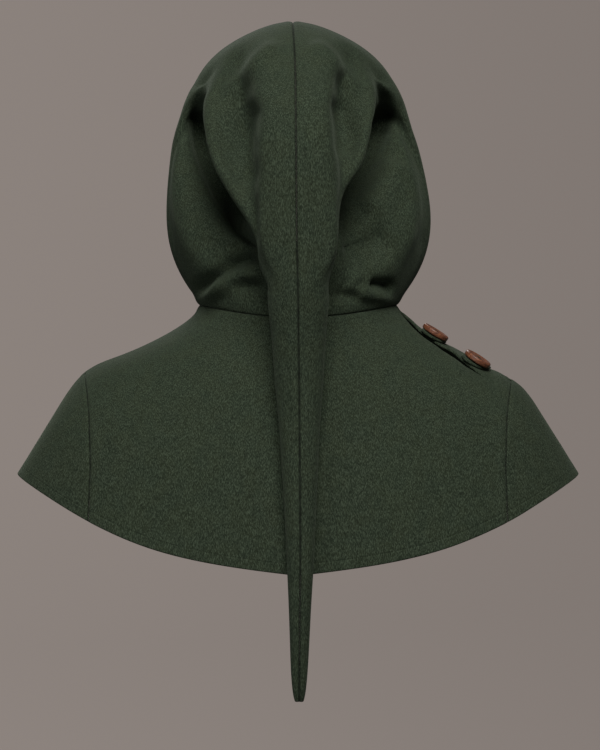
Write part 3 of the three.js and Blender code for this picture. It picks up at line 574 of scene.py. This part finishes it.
def cloth_piece(name, patches, seams, hems, shift):
    """A closed sheet from patches of (points, normals) in millimetres, sewn along seams."""
    mesh, rim, outer_count = shell(name, patches)
    middle = np.concatenate([points.reshape(-1, 3) for points, _ in patches])
    normals = np.concatenate([facing.reshape(-1, 3) for _, facing in patches])
    count = len(mesh.vertices)
    places = np.zeros(count, np.int32)
    mesh.attributes["place"].data.foreach_get("value", places)
    middle, normals = middle[places], normals[places]
    to_rim = nearest_distance(middle, rim)
    to_seam = nearest_distance(middle, seams) if len(seams) else np.full(count, FAR)
    to_hem = nearest_distance(middle, hems) if len(hems) else np.full(count, FAR)
    rounded = np.sqrt(1 - np.clip(1 - to_rim / EDGE_ROUND, 0, 1) ** 2)
    half = CLOTH / 2 * np.maximum(rounded, EDGE_LEAST)
    sides = np.where(np.arange(count) < outer_count, 1, -1)
    dip = PUFF * np.exp(-(((to_seam - PUFF_AT) / PUFF_WIDTH) ** 2))
    dip -= SEAM_DIP * np.exp(-((to_seam / SEAM_DIP_WIDTH) ** 2))
    lift = sides * half + np.where(sides > 0, dip, 0)
    final = (middle + normals * lift[:, None] + shift) * MM
    mesh.vertices.foreach_set("co", final.ravel())
    for title, distance in (("seam", to_seam), ("hem", to_hem)):
        layer = mesh.attributes.new(title, "FLOAT", "POINT")
        layer.data.foreach_set("value", np.minimum(distance, FAR) * MM)
    mesh.attributes.remove(mesh.attributes["place"])
    mesh.update()
    return linked(name, smoothed(facing_out(mesh)))


# The hood's rows and columns lie close at the face edge, the tail's tip and the seams.
FACE_STEPS = 16
CROWN_STEPS = 96
FUNNEL_STEPS = 56
TAIL_STEPS = 80
HOOD_ROWS = np.concatenate(
    [
        fine_ends(0, FIRST_NECK_ROW, FACE_STEPS, at_last=False),
        np.linspace(FIRST_NECK_ROW, LAST_NECK_ROW, CROWN_STEPS + 1)[1:],
        np.linspace(LAST_NECK_ROW, LAST_SECTION, FUNNEL_STEPS + 1)[1:],
        fine_ends(LAST_SECTION, LAST_ROW, TAIL_STEPS, at_first=False)[1:],
    ]
)
HOOD_STEPS = 128

# A fold fades out towards the lower edge, and where the cloth faces forwards.
SETTLE = 0.6
FACE_AWAY = 0.5
FACE_FADE = 0.4


def hood_half(name, side):
    """Half the hood with its half of the tail."""
    outs = fine_ends(0, SEAM_COLUMN, HOOD_STEPS)
    row, out = np.meshgrid(HOOD_ROWS, outs, indexing="ij")
    base = seated_hood(row, SEAM_COLUMN - side * out)
    facing = surface_normals(base, side)
    lift = fold_lift(base, out, side) * ramp((SEAM_COLUMN - out) / SETTLE)
    lift *= ramp((facing[..., 1] + FACE_AWAY) / FACE_FADE) * (row <= LAST_SECTION)
    points = base + facing * lift[..., None]
    facing = surface_normals(points, side)
    facing[:, 0] = in_plane(facing[:, 0])
    angle = neck_angle(HOOD_ROWS)
    radial = np.stack([side * np.sin(angle), np.cos(angle), 0 * angle], -1)
    on_neck = (HOOD_ROWS >= FIRST_NECK_ROW) & (HOOD_ROWS <= LAST_NECK_ROW)
    facing[:, -1] = np.where(on_neck[:, None], radial, in_plane(facing[:, -1]))
    seams = np.concatenate([points[:, 0], points[:, -1]])
    return cloth_piece(name, [(points, facing)], seams, points[0], (side * SEWN_GAP, 0, 0))


# The cape


def cape_rows():
    """The cape's net: the share of the way out and the height, from neck to hem."""
    rows = []
    for number, (shares, heights) in enumerate(CAPE):
        angle = math.radians(ROW_ANGLE * number)
        heights = (neck_point(angle)[2], *heights, hem_point(angle)[2])
        rows.append([(share, 0, height) for share, height in zip((0, *shares, 1), heights)])
    return rows


cape_net = Net(cape_rows())


def cape_point(side, degrees, line):
    """A point of the cape by angle from the back and line out from the neck."""
    degrees, line = np.broadcast_arrays(np.asarray(degrees, float), np.asarray(line, float))
    angle = np.radians(degrees)
    row = degrees / ROW_ANGLE
    shape = cape_net.at(row, line)
    neck = neck_point(angle)
    settle = neck[..., 2] - cape_net.at(row, 0 * line)[..., 2]
    point = neck + (hem_point(angle) - neck) * shape[..., :1]
    point[..., 2] = shape[..., 2] + settle * ramp(1 - line)
    if side == RIGHT:
        drop = look_up(SAG, point[..., 0])
        point[..., 2] -= drop * np.exp(-((point[..., 1] / SAG_REACH) ** 2))
        for x, y, depth in PRESSED:
            across = ((point[..., 0] - x) / PRESS_ACROSS) ** 4
            along = ((point[..., 1] - y) / PRESS_ALONG) ** 4
            point[..., 2] -= depth * np.exp(-across - along)
    point[..., 0] *= side
    return point


# The cape's slope is measured over these steps, in degrees and lines.
ASIDE = 0.5
ONWARD = 0.02


def cape_normal(side, degrees, line):
    """The way that the cape faces there, up and out."""
    around = cape_point(side, degrees + ASIDE, line) - cape_point(side, degrees - ASIDE, line)
    below = cape_point(side, degrees, np.minimum(line + ONWARD, HEM_LINE))
    outward = below - cape_point(side, degrees, np.maximum(line - ONWARD, 0))
    normal = side * np.cross(around, outward)
    return normal / np.linalg.norm(normal, axis=-1, keepdims=True)


# How often a search halves its range
HALVINGS = 40


def angle_at(x, line, start, end):
    """The angle where the cape, at one line, is a given distance out."""
    low, high = start + 0 * x, end + 0 * x
    for _ in range(HALVINGS):
        middle = (low + high) / 2
        short = cape_point(LEFT, middle, line)[..., 0] < x
        low, high = np.where(short, middle, low), np.where(short, high, middle)
    return (low + high) / 2


# The gore's seams are looked for between these angles and the side.
GORE_BACK_FROM = 10.0
GORE_FRONT_FROM = 170.0


def gore_edges(line):
    """The angles of the gore's two seams at each line."""
    line = np.maximum(np.asarray(line, float), APEX_LINE)
    x = cape_point(LEFT, APEX_ANGLE, APEX_LINE)[0] - look_up(GORE_SEAM, line)
    open_edge = line > APEX_LINE
    back = np.where(open_edge, angle_at(x, line, GORE_BACK_FROM, 90.0), APEX_ANGLE)
    front = np.where(open_edge, angle_at(x, line, GORE_FRONT_FROM, 90.0), APEX_ANGLE)
    return back, front


def parting_angle(side, line):
    """The angle that parts back from front above the gore."""
    if side == LEFT:
        return 90 - (90 - APEX_ANGLE) * (line / APEX_LINE) ** 2
    return look_up(PARTING, line)


def slit_half_gap(side, line, degrees):
    """Half the slit's gap at each line, in degrees round the neck."""
    if side == LEFT:
        return 0 * line
    step = cape_point(side, degrees + 1, line) - cape_point(side, degrees, line)
    gap = look_up(SLIT, line) / np.linalg.norm(step, axis=-1)
    return np.where(line < SLIT_END_LINE, gap, 0)


# Lines lie close at the neck seam, the gore's apex and the hem, columns at the centre
# seams and along the shoulder, where they start even and then spread with the gore.
SLIT_STEPS = 36
SLIT_END_STEPS = 4
LOWER_STEPS = 36
CAPE_LINES = np.concatenate(
    [
        fine_ends(0, SLIT_END_LINE, SLIT_STEPS, at_last=False),
        np.linspace(SLIT_END_LINE, APEX_LINE, SLIT_END_STEPS + 1)[1:],
        fine_ends(APEX_LINE, HEM_LINE, LOWER_STEPS)[1:],
    ]
)
GORE_LINES = CAPE_LINES[CAPE_LINES >= APEX_LINE]
CAPE_STEPS = 60
CAPE_CLOSE = 0.12
EVEN_SHARE = 0.11
GORE_STEPS = 34
GORE_CLOSE = 0.3


def sunk_edge(points, line):
    """How far the slit's back edge sinks, less and less away from the slit."""
    steps = np.linalg.norm(np.diff(points, axis=1), axis=-1).cumsum(axis=1)
    steps = np.concatenate([np.zeros_like(steps[:, :1]), steps], axis=1)
    return look_up(SLIT_DROP, line)[:, None] * (1 - ramp(steps / SLIT_DROP_REACH))


def cape_patch(side, way):
    """The back (way -1) or front (way 1) of one half, from the shoulder to the centre."""
    line = CAPE_LINES
    back, front = gore_edges(line)
    edge = front if way > 0 else back
    parting = parting_angle(side, line)
    slit = parting + way * slit_half_gap(side, line, parting)
    end = np.where(line <= APEX_LINE, slit, edge)
    centre = 180.0 if way > 0 else 0.0
    eased = APEX_SPREAD * np.minimum(1, line / APEX_LINE) ** 2
    first = 90 + way * np.where(line > APEX_LINE, np.maximum(abs(edge - 90), eased), eased)
    if side == RIGHT:
        follow = (parting - 90) * ramp((APEX_LINE - line) / PARTING_FADE)
        first += np.where(line < APEX_LINE, follow, 0)
        first = np.maximum(first, end) if way > 0 else np.minimum(first, end)
    shares = fine_ends(0, 1, CAPE_STEPS, scale=CAPE_CLOSE)
    even = end[:, None] + (centre - end)[:, None] * shares
    spread = first[:, None] + (centre - first)[:, None] * shares
    degrees = even + (spread - even) * ramp(shares / EVEN_SHARE)[None]
    degrees[:, -1] = centre
    lines = np.broadcast_to(line[:, None], degrees.shape)
    points = cape_point(side, degrees, lines)
    facing = cape_normal(side, degrees, lines)
    if side == RIGHT and way < 0:
        points[..., 2] -= sunk_edge(points, line)
    angle = np.radians(degrees[0])
    facing[0] = np.stack([side * np.sin(angle), np.cos(angle), 0 * angle], -1)
    facing[:, -1] = in_plane(facing[:, -1])
    return points, facing


def cape_half(name, side):
    """Half the cape, whose back and front join on the shoulder, but for the slit."""
    patches = [cape_patch(side, -1), cape_patch(side, 1)]
    below = CAPE_LINES >= APEX_LINE
    seams = np.concatenate(
        [part for points, _ in patches for part in (points[0], points[:, -1], points[below, 0])]
    )
    hems = np.concatenate([points[-1] for points, _ in patches])
    return cloth_piece(name, patches, seams, hems, (side * SEWN_GAP, 0, -SEWN_GAP))


def gore(name, side):
    """The gusset let into one side of the cape, from its apex to the hem."""
    back, front = gore_edges(GORE_LINES)
    shares = fine_ends(0, 1, GORE_STEPS, scale=GORE_CLOSE)
    degrees = back[:, None] + (front - back)[:, None] * shares
    lines = np.broadcast_to(GORE_LINES[:, None], degrees.shape)
    points = cape_point(side, degrees, lines)
    facing = cape_normal(side, degrees, lines)
    seams = np.concatenate([points[:, 0], points[:, -1]])
    shift = (side * GORE_GAP, 0, -SEWN_GAP)
    return cloth_piece(name, [(points, facing)], seams, points[-1], shift)


# The tongues of cloth and the buttons on the right shoulder

TAB_LIFT = CLOTH + SEAM_GAP
TAB_HALF_WIDTH = 12
TAB_BLUNT = 0.12
TAB_STEPS_ALONG = 26
TAB_STEPS_ACROSS = 18
TAB_CLOSE_ALONG = 8
TAB_CLOSE_ACROSS = 0.8
BUTTON_RADIUS = 13
BUTTON_THICK = 5
BUTTON_EDGE = 1.6
BUTTON_DISH = 0.9
BUTTON_SIDES = 72
BUTTON_LIFT = TAB_LIFT + CLOTH / 2 + SEAM_GAP + BUTTON_THICK / 2
RIM_STEPS = 6
HOLE_RADIUS = 1.1
HOLE_OFFSET = 2.6
HOLE_SIDES = 28
SHARP = math.radians(40)

# Where the dish begins and how wide its slope is, in widths of the rounded edge
DISH_FROM = 1.3
DISH_WIDTH = 2.2
DISH_STEPS = 8

# The shoulder's slope under a button and its length under a tongue are measured over
# these parts of a line, each way.
SLOPE_SPAN = 0.3
LENGTH_SPAN = 0.5

# How far out each button is and at which angle, and its tongue's reach front and back.
BUTTONS = {"upper": (122, 79, 15, 17), "lower": (159.7, 74, 15, 17)}


def line_at(x, degrees):
    """The line on the right shoulder that is a given distance out, at one angle."""
    low, high = 0.0, float(APEX_LINE)
    for _ in range(HALVINGS):
        middle = (low + high) / 2
        if cape_point(LEFT, degrees, middle)[0] < x:
            low = middle
        else:
            high = middle
    return (low + high) / 2


def unit(vector):
    """The same direction at length 1."""
    return vector / np.linalg.norm(vector)


def button_place(x, degrees):
    """Where a button's middle is, with its slope, across and upward directions."""
    middle = line_at(x, degrees)
    here = cape_point(RIGHT, degrees, middle)
    normal = cape_normal(RIGHT, degrees, middle)
    lower = cape_point(RIGHT, degrees, middle + SLOPE_SPAN)
    slope = lower - cape_point(RIGHT, degrees, middle - SLOPE_SPAN)
    slope = unit(slope - normal * (slope @ normal))
    return here + normal * BUTTON_LIFT, slope, np.cross(normal, slope), normal


def tab(name, x, angle, front, back):
    """A tongue of cloth that lies across the slit, rounded off at its front end."""
    middle = line_at(x, angle)
    here = cape_point(RIGHT, angle, middle)
    ahead = cape_point(RIGHT, angle, middle + LENGTH_SPAN)
    per_line = np.linalg.norm(ahead - cape_point(RIGHT, angle, middle - LENGTH_SPAN))
    per_degree = np.linalg.norm(here - cape_point(RIGHT, angle + 1, middle))
    along = fine_ends(-back, front, TAB_STEPS_ALONG, scale=TAB_CLOSE_ALONG)
    past = np.maximum(0, along - (front - TAB_HALF_WIDTH))
    half = np.sqrt(np.maximum(0, TAB_HALF_WIDTH**2 - past**2))
    half = np.maximum(half, TAB_BLUNT * (front + back))
    wide = fine_ends(-1, 1, TAB_STEPS_ACROSS, scale=TAB_CLOSE_ACROSS)[None] * half[:, None]
    degrees = angle - np.broadcast_to(along[:, None], wide.shape) / per_degree
    lines = middle + wide / per_line
    facing = cape_normal(RIGHT, degrees, lines)
    points = cape_point(RIGHT, degrees, lines) + facing * TAB_LIFT
    return cloth_piece(name, [(points, facing)], [], points[-1], (-SEWN_GAP, 0, -SEWN_GAP))


def placed(mesh, place):
    """Moves a mesh made round the origin, in millimetres, to its button's place."""
    centre, slope, across, normal = button_place(*place)
    turn = Matrix([[*row] for row in np.stack([slope, across, normal], 1)]).to_4x4()
    mesh.transform(Matrix.Scale(MM, 4) @ Matrix.Translation(centre) @ turn)


def disc_profile():
    """Half the disc's section, up over its rounded rim and down into its dish."""
    half = BUTTON_THICK / 2
    profile = [(0.0, -half)]
    for step in range(RIM_STEPS + 1):
        turn = math.pi / 2 * step / RIM_STEPS
        reach = BUTTON_RADIUS - BUTTON_EDGE * (1 - math.sin(turn))
        profile.append((reach, -half + BUTTON_EDGE * (1 - math.cos(turn))))
    for step in range(RIM_STEPS + 1):
        turn = math.pi / 2 * step / RIM_STEPS
        reach = BUTTON_RADIUS - BUTTON_EDGE * (1 - math.cos(turn))
        profile.append((reach, half - BUTTON_EDGE * (1 - math.sin(turn))))
    for step in range(1, DISH_STEPS + 1):
        share = step / DISH_STEPS
        reach = BUTTON_RADIUS - BUTTON_EDGE * (DISH_FROM + DISH_WIDTH * share)
        profile.append((reach, half - BUTTON_DISH * float(ramp(share))))
    profile.append((0.0, half - BUTTON_DISH))
    return profile


def disc(name, place):
    """A turned wooden disc with a rounded rim, a shallow dish and two holes."""
    piece = linked(name, as_mesh(name, turned(disc_profile(), BUTTON_SIDES, MERGED / 2)))
    drills = bmesh.new()
    for offset in (HOLE_OFFSET, -HOLE_OFFSET):
        bmesh.ops.create_cone(
            drills,
            cap_ends=True,
            segments=HOLE_SIDES,
            radius1=HOLE_RADIUS,
            radius2=HOLE_RADIUS,
            depth=BUTTON_THICK * 2,
            matrix=Matrix.Translation((offset, 0, 0)),
        )
    drill = linked("drills", as_mesh("drills", drills))
    cut = piece.modifiers.new("holes", "BOOLEAN")
    cut.operation = "DIFFERENCE"
    cut.solver = "EXACT"
    cut.object = drill
    shown = piece.evaluated_get(bpy.context.evaluated_depsgraph_get())
    cut_mesh = bpy.data.meshes.new_from_object(shown)
    piece.modifiers.clear()
    piece.data = cut_mesh
    bpy.data.objects.remove(drill)
    placed(cut_mesh, place)
    cut_mesh.set_sharp_from_angle(angle=SHARP)
    smoothed(cut_mesh)
    return piece


# The thread's strands, each a row of short twists from hole to hole
STRAND_RADIUS = 0.46
STRAND_APART = 0.42
STRAND_TWISTS = 12
STRAND_WAVE = 0.06
STRAND_WAVES = 9
STRAND_ARCH = 0.75
STRAND_SINK = 0.4
STRAND_REACH = HOLE_OFFSET * 1.06


def thread(name, place):
    """The doubled thread that crosses between the button's holes."""
    strands = bmesh.new()
    foot = BUTTON_THICK / 2 - BUTTON_DISH - STRAND_SINK
    for shift in (-STRAND_APART, STRAND_APART):
        for step in range(STRAND_TWISTS):
            share = step / (STRAND_TWISTS - 1)
            along = STRAND_REACH * (2 * share - 1)
            aside = shift + STRAND_WAVE * math.sin(STRAND_WAVES * share)
            height = foot + STRAND_ARCH * math.sin(math.pi * share)
            bmesh.ops.create_uvsphere(
                strands,
                u_segments=10,
                v_segments=6,
                radius=STRAND_RADIUS,
                matrix=Matrix.Translation((along, aside, height)),
            )
    mesh = as_mesh(name, strands)
    placed(mesh, place)
    return linked(name, smoothed(mesh))


# Materials


class Shade:
    """A value in a material, which adds, subtracts and multiplies as a number does."""

    def __init__(self, material, socket):
        self.material = material
        self.socket = socket

    def joined(self, operation, first, second):
        return self.material.node("ShaderNodeMath", {"operation": operation}, {0: first, 1: second})

    def __add__(self, other):
        return self.joined("ADD", self, other)

    def __sub__(self, other):
        return self.joined("SUBTRACT", self, other)

    def __mul__(self, other):
        return self.joined("MULTIPLY", self, other)


class Material:
    """A material, and the short calls that make its nodes."""

    def __init__(self, name):
        self.data = bpy.data.materials.new(name)
        self.data.use_nodes = True
        self.tree = self.data.node_tree
        self.tree.nodes.clear()
        self.shader = self.tree.nodes.new("ShaderNodeBsdfPrincipled")
        output = self.tree.nodes.new("ShaderNodeOutputMaterial")
        self.tree.links.new(self.shader.outputs[0], output.inputs["Surface"])

    def node(self, kind, settings=None, inputs=None, output=0):
        made = self.tree.nodes.new(kind)
        for key, value in (settings or {}).items():
            if key == "stops":
                for _ in range(len(value) - 2):
                    made.color_ramp.elements.new(0.5)
                for element, (position, colour) in zip(made.color_ramp.elements, value):
                    element.position = position
                    element.color = (*colour, 1)
            else:
                setattr(made, key, value)
        for key, value in (inputs or {}).items():
            self.feed(made.inputs[key], value)
        return Shade(self, made.outputs[output])

    def feed(self, socket, value):
        if isinstance(value, Shade):
            self.tree.links.new(value.socket, socket)
        elif isinstance(value, (tuple, list)) and len(value) == 3 and socket.type == "RGBA":
            socket.default_value = (*value, 1)
        else:
            socket.default_value = value

    def set(self, **values):
        for key, value in values.items():
            self.feed(self.shader.inputs[key.replace("_", " ").title().replace("Ior", "IOR")], value)

    def coordinates(self, turn=(0, 0, 0), scale=(1, 1, 1)):
        place = self.node("ShaderNodeTexCoord", output="Object")
        inputs = {"Vector": place, "Rotation": turn, "Scale": scale}
        return self.node("ShaderNodeMapping", None, inputs)

    def grain(self, place, scale, detail=2.0, roughness=0.5, distortion=0.0):
        inputs = {
            "Vector": place,
            "Scale": scale,
            "Detail": detail,
            "Roughness": roughness,
            "Distortion": distortion,
        }
        return self.node("ShaderNodeTexNoise", None, inputs)

    def between(self, value, low, high, to_low=0.0, to_high=1.0):
        inputs = {0: value, 1: low, 2: high, 3: to_low, 4: to_high}
        return self.node("ShaderNodeMapRange", {"interpolation_type": "SMOOTHSTEP"}, inputs)

    def blend(self, factor, first, second):
        inputs = {0: factor, 6: first, 7: second}
        return self.node("ShaderNodeMix", {"data_type": "RGBA"}, inputs, output=2)

    def attribute(self, name):
        return self.node("ShaderNodeAttribute", {"attribute_name": name}, output="Fac")


DARK_WOOL = (0.0105, 0.0155, 0.0088)
OLIVE_WOOL = (0.0270, 0.0370, 0.0205)
BLUE_WOOL = (0.0240, 0.0350, 0.0208)
LIGHT_FIBRE = (0.0760, 0.1020, 0.0660)
PAINTED_SEAM_SHADE = (0.0040, 0.0055, 0.0035)
NAP_TURN = (0, math.radians(33), 0)
NAP_STRETCH = (1, 1, 0.24)

# In metres: from where to where the painted shade along a seam fades, and the stitches' place and width
SEAM_EDGE = (0.0002, 0.0015)
HEM_STITCH = 0.0090
STITCH_WIDTH = 0.0012


def felted_wool(name):
    """Thick wool with a slanting nap, painted shade along its seams, stitched along its hem."""
    wool = Material(name)
    place = wool.coordinates()
    nap = wool.coordinates(NAP_TURN, NAP_STRETCH)
    patches = wool.grain(place, 55, 3)
    clouds = wool.grain(place, 210, 3)
    specks = wool.grain(place, 900, 3, 0.6)
    fibres = wool.grain(nap, 1650, 3, 0.6)
    colour = wool.blend(wool.between(patches, 0.38, 0.62), OLIVE_WOOL, BLUE_WOOL)
    colour = wool.blend(wool.between(clouds, 0.44, 0.70, 0, 0.35), colour, DARK_WOOL)
    colour = wool.blend(wool.between(specks, 0.46, 0.30, 0, 0.9), colour, DARK_WOOL)
    colour = wool.blend(wool.between(fibres, 0.46, 0.66, 0, 0.8), colour, LIGHT_FIBRE)
    colour = wool.blend(wool.between(fibres, 0.46, 0.32, 0, 0.7), colour, DARK_WOOL)
    # Painted shade: within 1.5 mm of a seam the wool darkens nearly to black, unevenly, where shade
    # would fall in the crease
    seam = wool.between(wool.attribute("seam"), *SEAM_EDGE, 0.85, 0.0)
    uneven = wool.between(wool.grain(place, 320, 1), 0.35, 0.6, 0.6, 1.0)
    colour = wool.blend(seam * uneven, colour, PAINTED_SEAM_SHADE)
    height = fibres * 0.5 + specks * 0.6 + clouds * 0.5
    hem = wool.attribute("hem")
    outer = wool.between(hem, HEM_STITCH - STITCH_WIDTH, HEM_STITCH, 0, 1)
    stitched = outer * wool.between(hem, HEM_STITCH, HEM_STITCH + STITCH_WIDTH, 1, 0)
    bump = wool.node(
        "ShaderNodeBump",
        None,
        {"Strength": 0.55, "Distance": 0.0011, "Height": height - stitched * 0.5},
    )
    wool.set(
        base_color=colour,
        roughness=wool.between(specks, 0.3, 0.7, 0.88, 0.98),
        normal=bump,
        sheen_weight=0.12,
        sheen_roughness=0.4,
        sheen_tint=(0.55, 0.68, 0.5, 1),
        specular_ior_level=0.18,
    )
    return wool.data


WOOD_TURN = (0, math.radians(24), 0)
WOOD_STRETCH = (0.35, 2.2, 1.6)
WOOD_TONES = [(0.3, (0.055, 0.018, 0.010)), (0.5, (0.17, 0.060, 0.030)), (0.72, (0.33, 0.13, 0.062))]
PORE = (0.03, 0.010, 0.006)


def turned_wood(name):
    """Satin reddish brown wood with drawn-out rings and fine dark pores."""
    wood = Material(name)
    place = wood.coordinates(WOOD_TURN, WOOD_STRETCH)
    rings = wood.grain(place, 420, 4, 0.6, 0.6)
    pores = wood.grain(place, 2200, 2, 0.6)
    colour = wood.node("ShaderNodeValToRGB", {"stops": WOOD_TONES}, {0: rings})
    colour = wood.blend(wood.between(pores, 0.62, 0.72, 0, 0.6), colour, PORE)
    bump = wood.node(
        "ShaderNodeBump", None, {"Strength": 0.3, "Distance": 0.0003, "Height": rings + pores * 0.4}
    )
    wood.set(
        base_color=colour,
        roughness=wood.between(rings, 0.3, 0.7, 0.5, 0.36),
        normal=bump,
        coat_weight=0.15,
        coat_roughness=0.3,
    )
    return wood.data


YARN_TONES = (0.012, 0.017, 0.010), (0.035, 0.045, 0.028)


def sewing_thread(name):
    """Matt dark green thread with a fine twist."""
    yarn = Material(name)
    twist = yarn.grain(yarn.coordinates((0, 0.6, 0), (1, 1, 0.3)), 2600, 2)
    colour = yarn.blend(yarn.between(twist, 0.4, 0.6), *YARN_TONES)
    yarn.set(base_color=colour, roughness=0.85)
    return yarn.data


wool_material = felted_wool("felted_wool")
wood_material = turned_wood("turned_wood")
thread_material = sewing_thread("sewing_thread")


def finished(piece, material, slot, *nodes):
    """Gives a piece its material, its body and the solids that it stands for."""
    piece.data.materials.clear()
    piece.data.materials.append(material)
    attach(piece, "root")
    if nodes:
        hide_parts(*nodes)
    return piece


# Camera, light and backdrop

CAMERA_PLACE = (-0.0018, 2.3, -0.3224)

camera_data = bpy.data.cameras.new("camera")
camera_data.lens = 120
camera_data.sensor_width = 36
camera = linked("camera", camera_data)
camera.location = CAMERA_PLACE
camera.rotation_euler = (math.radians(90), 0, math.radians(180))
bpy.context.scene.camera = camera
bpy.context.scene.view_settings.view_transform = "Standard"

AIM = Vector((0, 0.05, -0.28))


def soft_light(name, place, size, power, colour=(1, 1, 1)):
    """A round studio light that looks at the middle of the piece."""
    data = bpy.data.lights.new(name, "AREA")
    data.shape = "DISK"
    data.size = size
    data.energy = power
    data.color = colour
    light = linked(name, data)
    light.location = place
    light.rotation_euler = (AIM - Vector(place)).to_track_quat("-Z", "Y").to_euler()


soft_light("key", (-0.2, 2.35, 1.95), 1.8, 91, (1.0, 0.985, 0.955))
soft_light("fill", (1.7, 2.1, -0.4), 1.6, 8, (0.99, 0.99, 1.0))
soft_light("front", (0.5, -2.6, 1.8), 1.6, 30)

world = bpy.data.worlds.new("studio")
world.use_nodes = True
world.node_tree.nodes["Background"].inputs["Color"].default_value = (0.80, 0.79, 0.78, 1)
world.node_tree.nodes["Background"].inputs["Strength"].default_value = 0.08
bpy.context.scene.world = world

# The backdrop's sizes, in metres, and its tones from one side to the other: painted light, lighter to
# one side, and a painted glow
FLOOR_Z = -1.3
WALL = 6.0
COVE = 2.0
COVE_STEPS = 16
TOP = 3.6
BOWL_SIDES = 96
BOWL_MERGED = 0.0001
PAPER_PAINTED_LIGHT = ((0.330, 0.285, 0.262), (0.410, 0.355, 0.326))
PAPER_GLOW = 0.46
TONE_REACH = 1.6


def backdrop():
    """A pale floor that sweeps up into a round wall, with painted light: it glows and is a little
    lighter to one side.
    """
    profile = [(0.0, FLOOR_Z)]
    for step in range(COVE_STEPS + 1):
        turn = math.pi / 2 * step / COVE_STEPS
        profile.append((WALL - COVE + COVE * math.sin(turn), FLOOR_Z + COVE * (1 - math.cos(turn))))
    profile.append((WALL, TOP))
    bowl = turned(profile, BOWL_SIDES, BOWL_MERGED)
    bmesh.ops.reverse_faces(bowl, faces=bowl.faces[:])
    mesh = smoothed(as_mesh("backdrop", bowl))
    stage = linked("backdrop", mesh)
    paper = Material("paper")
    place = paper.node("ShaderNodeSeparateXYZ", None, {0: paper.coordinates()})
    # Painted light: the paper glows of itself and grows lighter towards +x, in its colour and its glow
    # alike
    painted_light_share = paper.between(place, -TONE_REACH, TONE_REACH)
    paper.set(
        base_color=paper.blend(painted_light_share, *PAPER_PAINTED_LIGHT),
        roughness=0.95,
        specular_ior_level=0.1,
        emission_color=paper.blend(painted_light_share, *PAPER_PAINTED_LIGHT),
        emission_strength=PAPER_GLOW,
    )
    mesh.materials.append(paper.data)
    for ray in ("diffuse", "glossy", "transmission", "shadow"):
        setattr(stage, "visible_" + ray, False)


backdrop()

# The assembly

hoods, capes = [], []
for word, side in (("left", LEFT), ("right", RIGHT)):
    piece = finished(hood_half(f"hood_{word}_cloth", side), wool_material, "wool", f"hood_{word}")
    hoods.append(piece)
    piece = finished(cape_half(f"cape_{word}_cloth", side), wool_material, "wool", f"cape_{word}")
    capes.append(piece)
    panel = finished(gore(f"gore_{word}_cloth", side), wool_material, "wool", f"gore_{word}")
for word, (x, angle, front, back) in BUTTONS.items():
    tongue = finished(
        tab(f"tab_{word}_cloth", x, angle, front, back), wool_material, "wool", f"button_tab_{word}"
    )
    finished(disc(f"button_{word}_wood", (x, angle)), wood_material, "wood", f"button_{word}")
    finished(thread(f"button_{word}_thread", (x, angle)), thread_material, "wool")
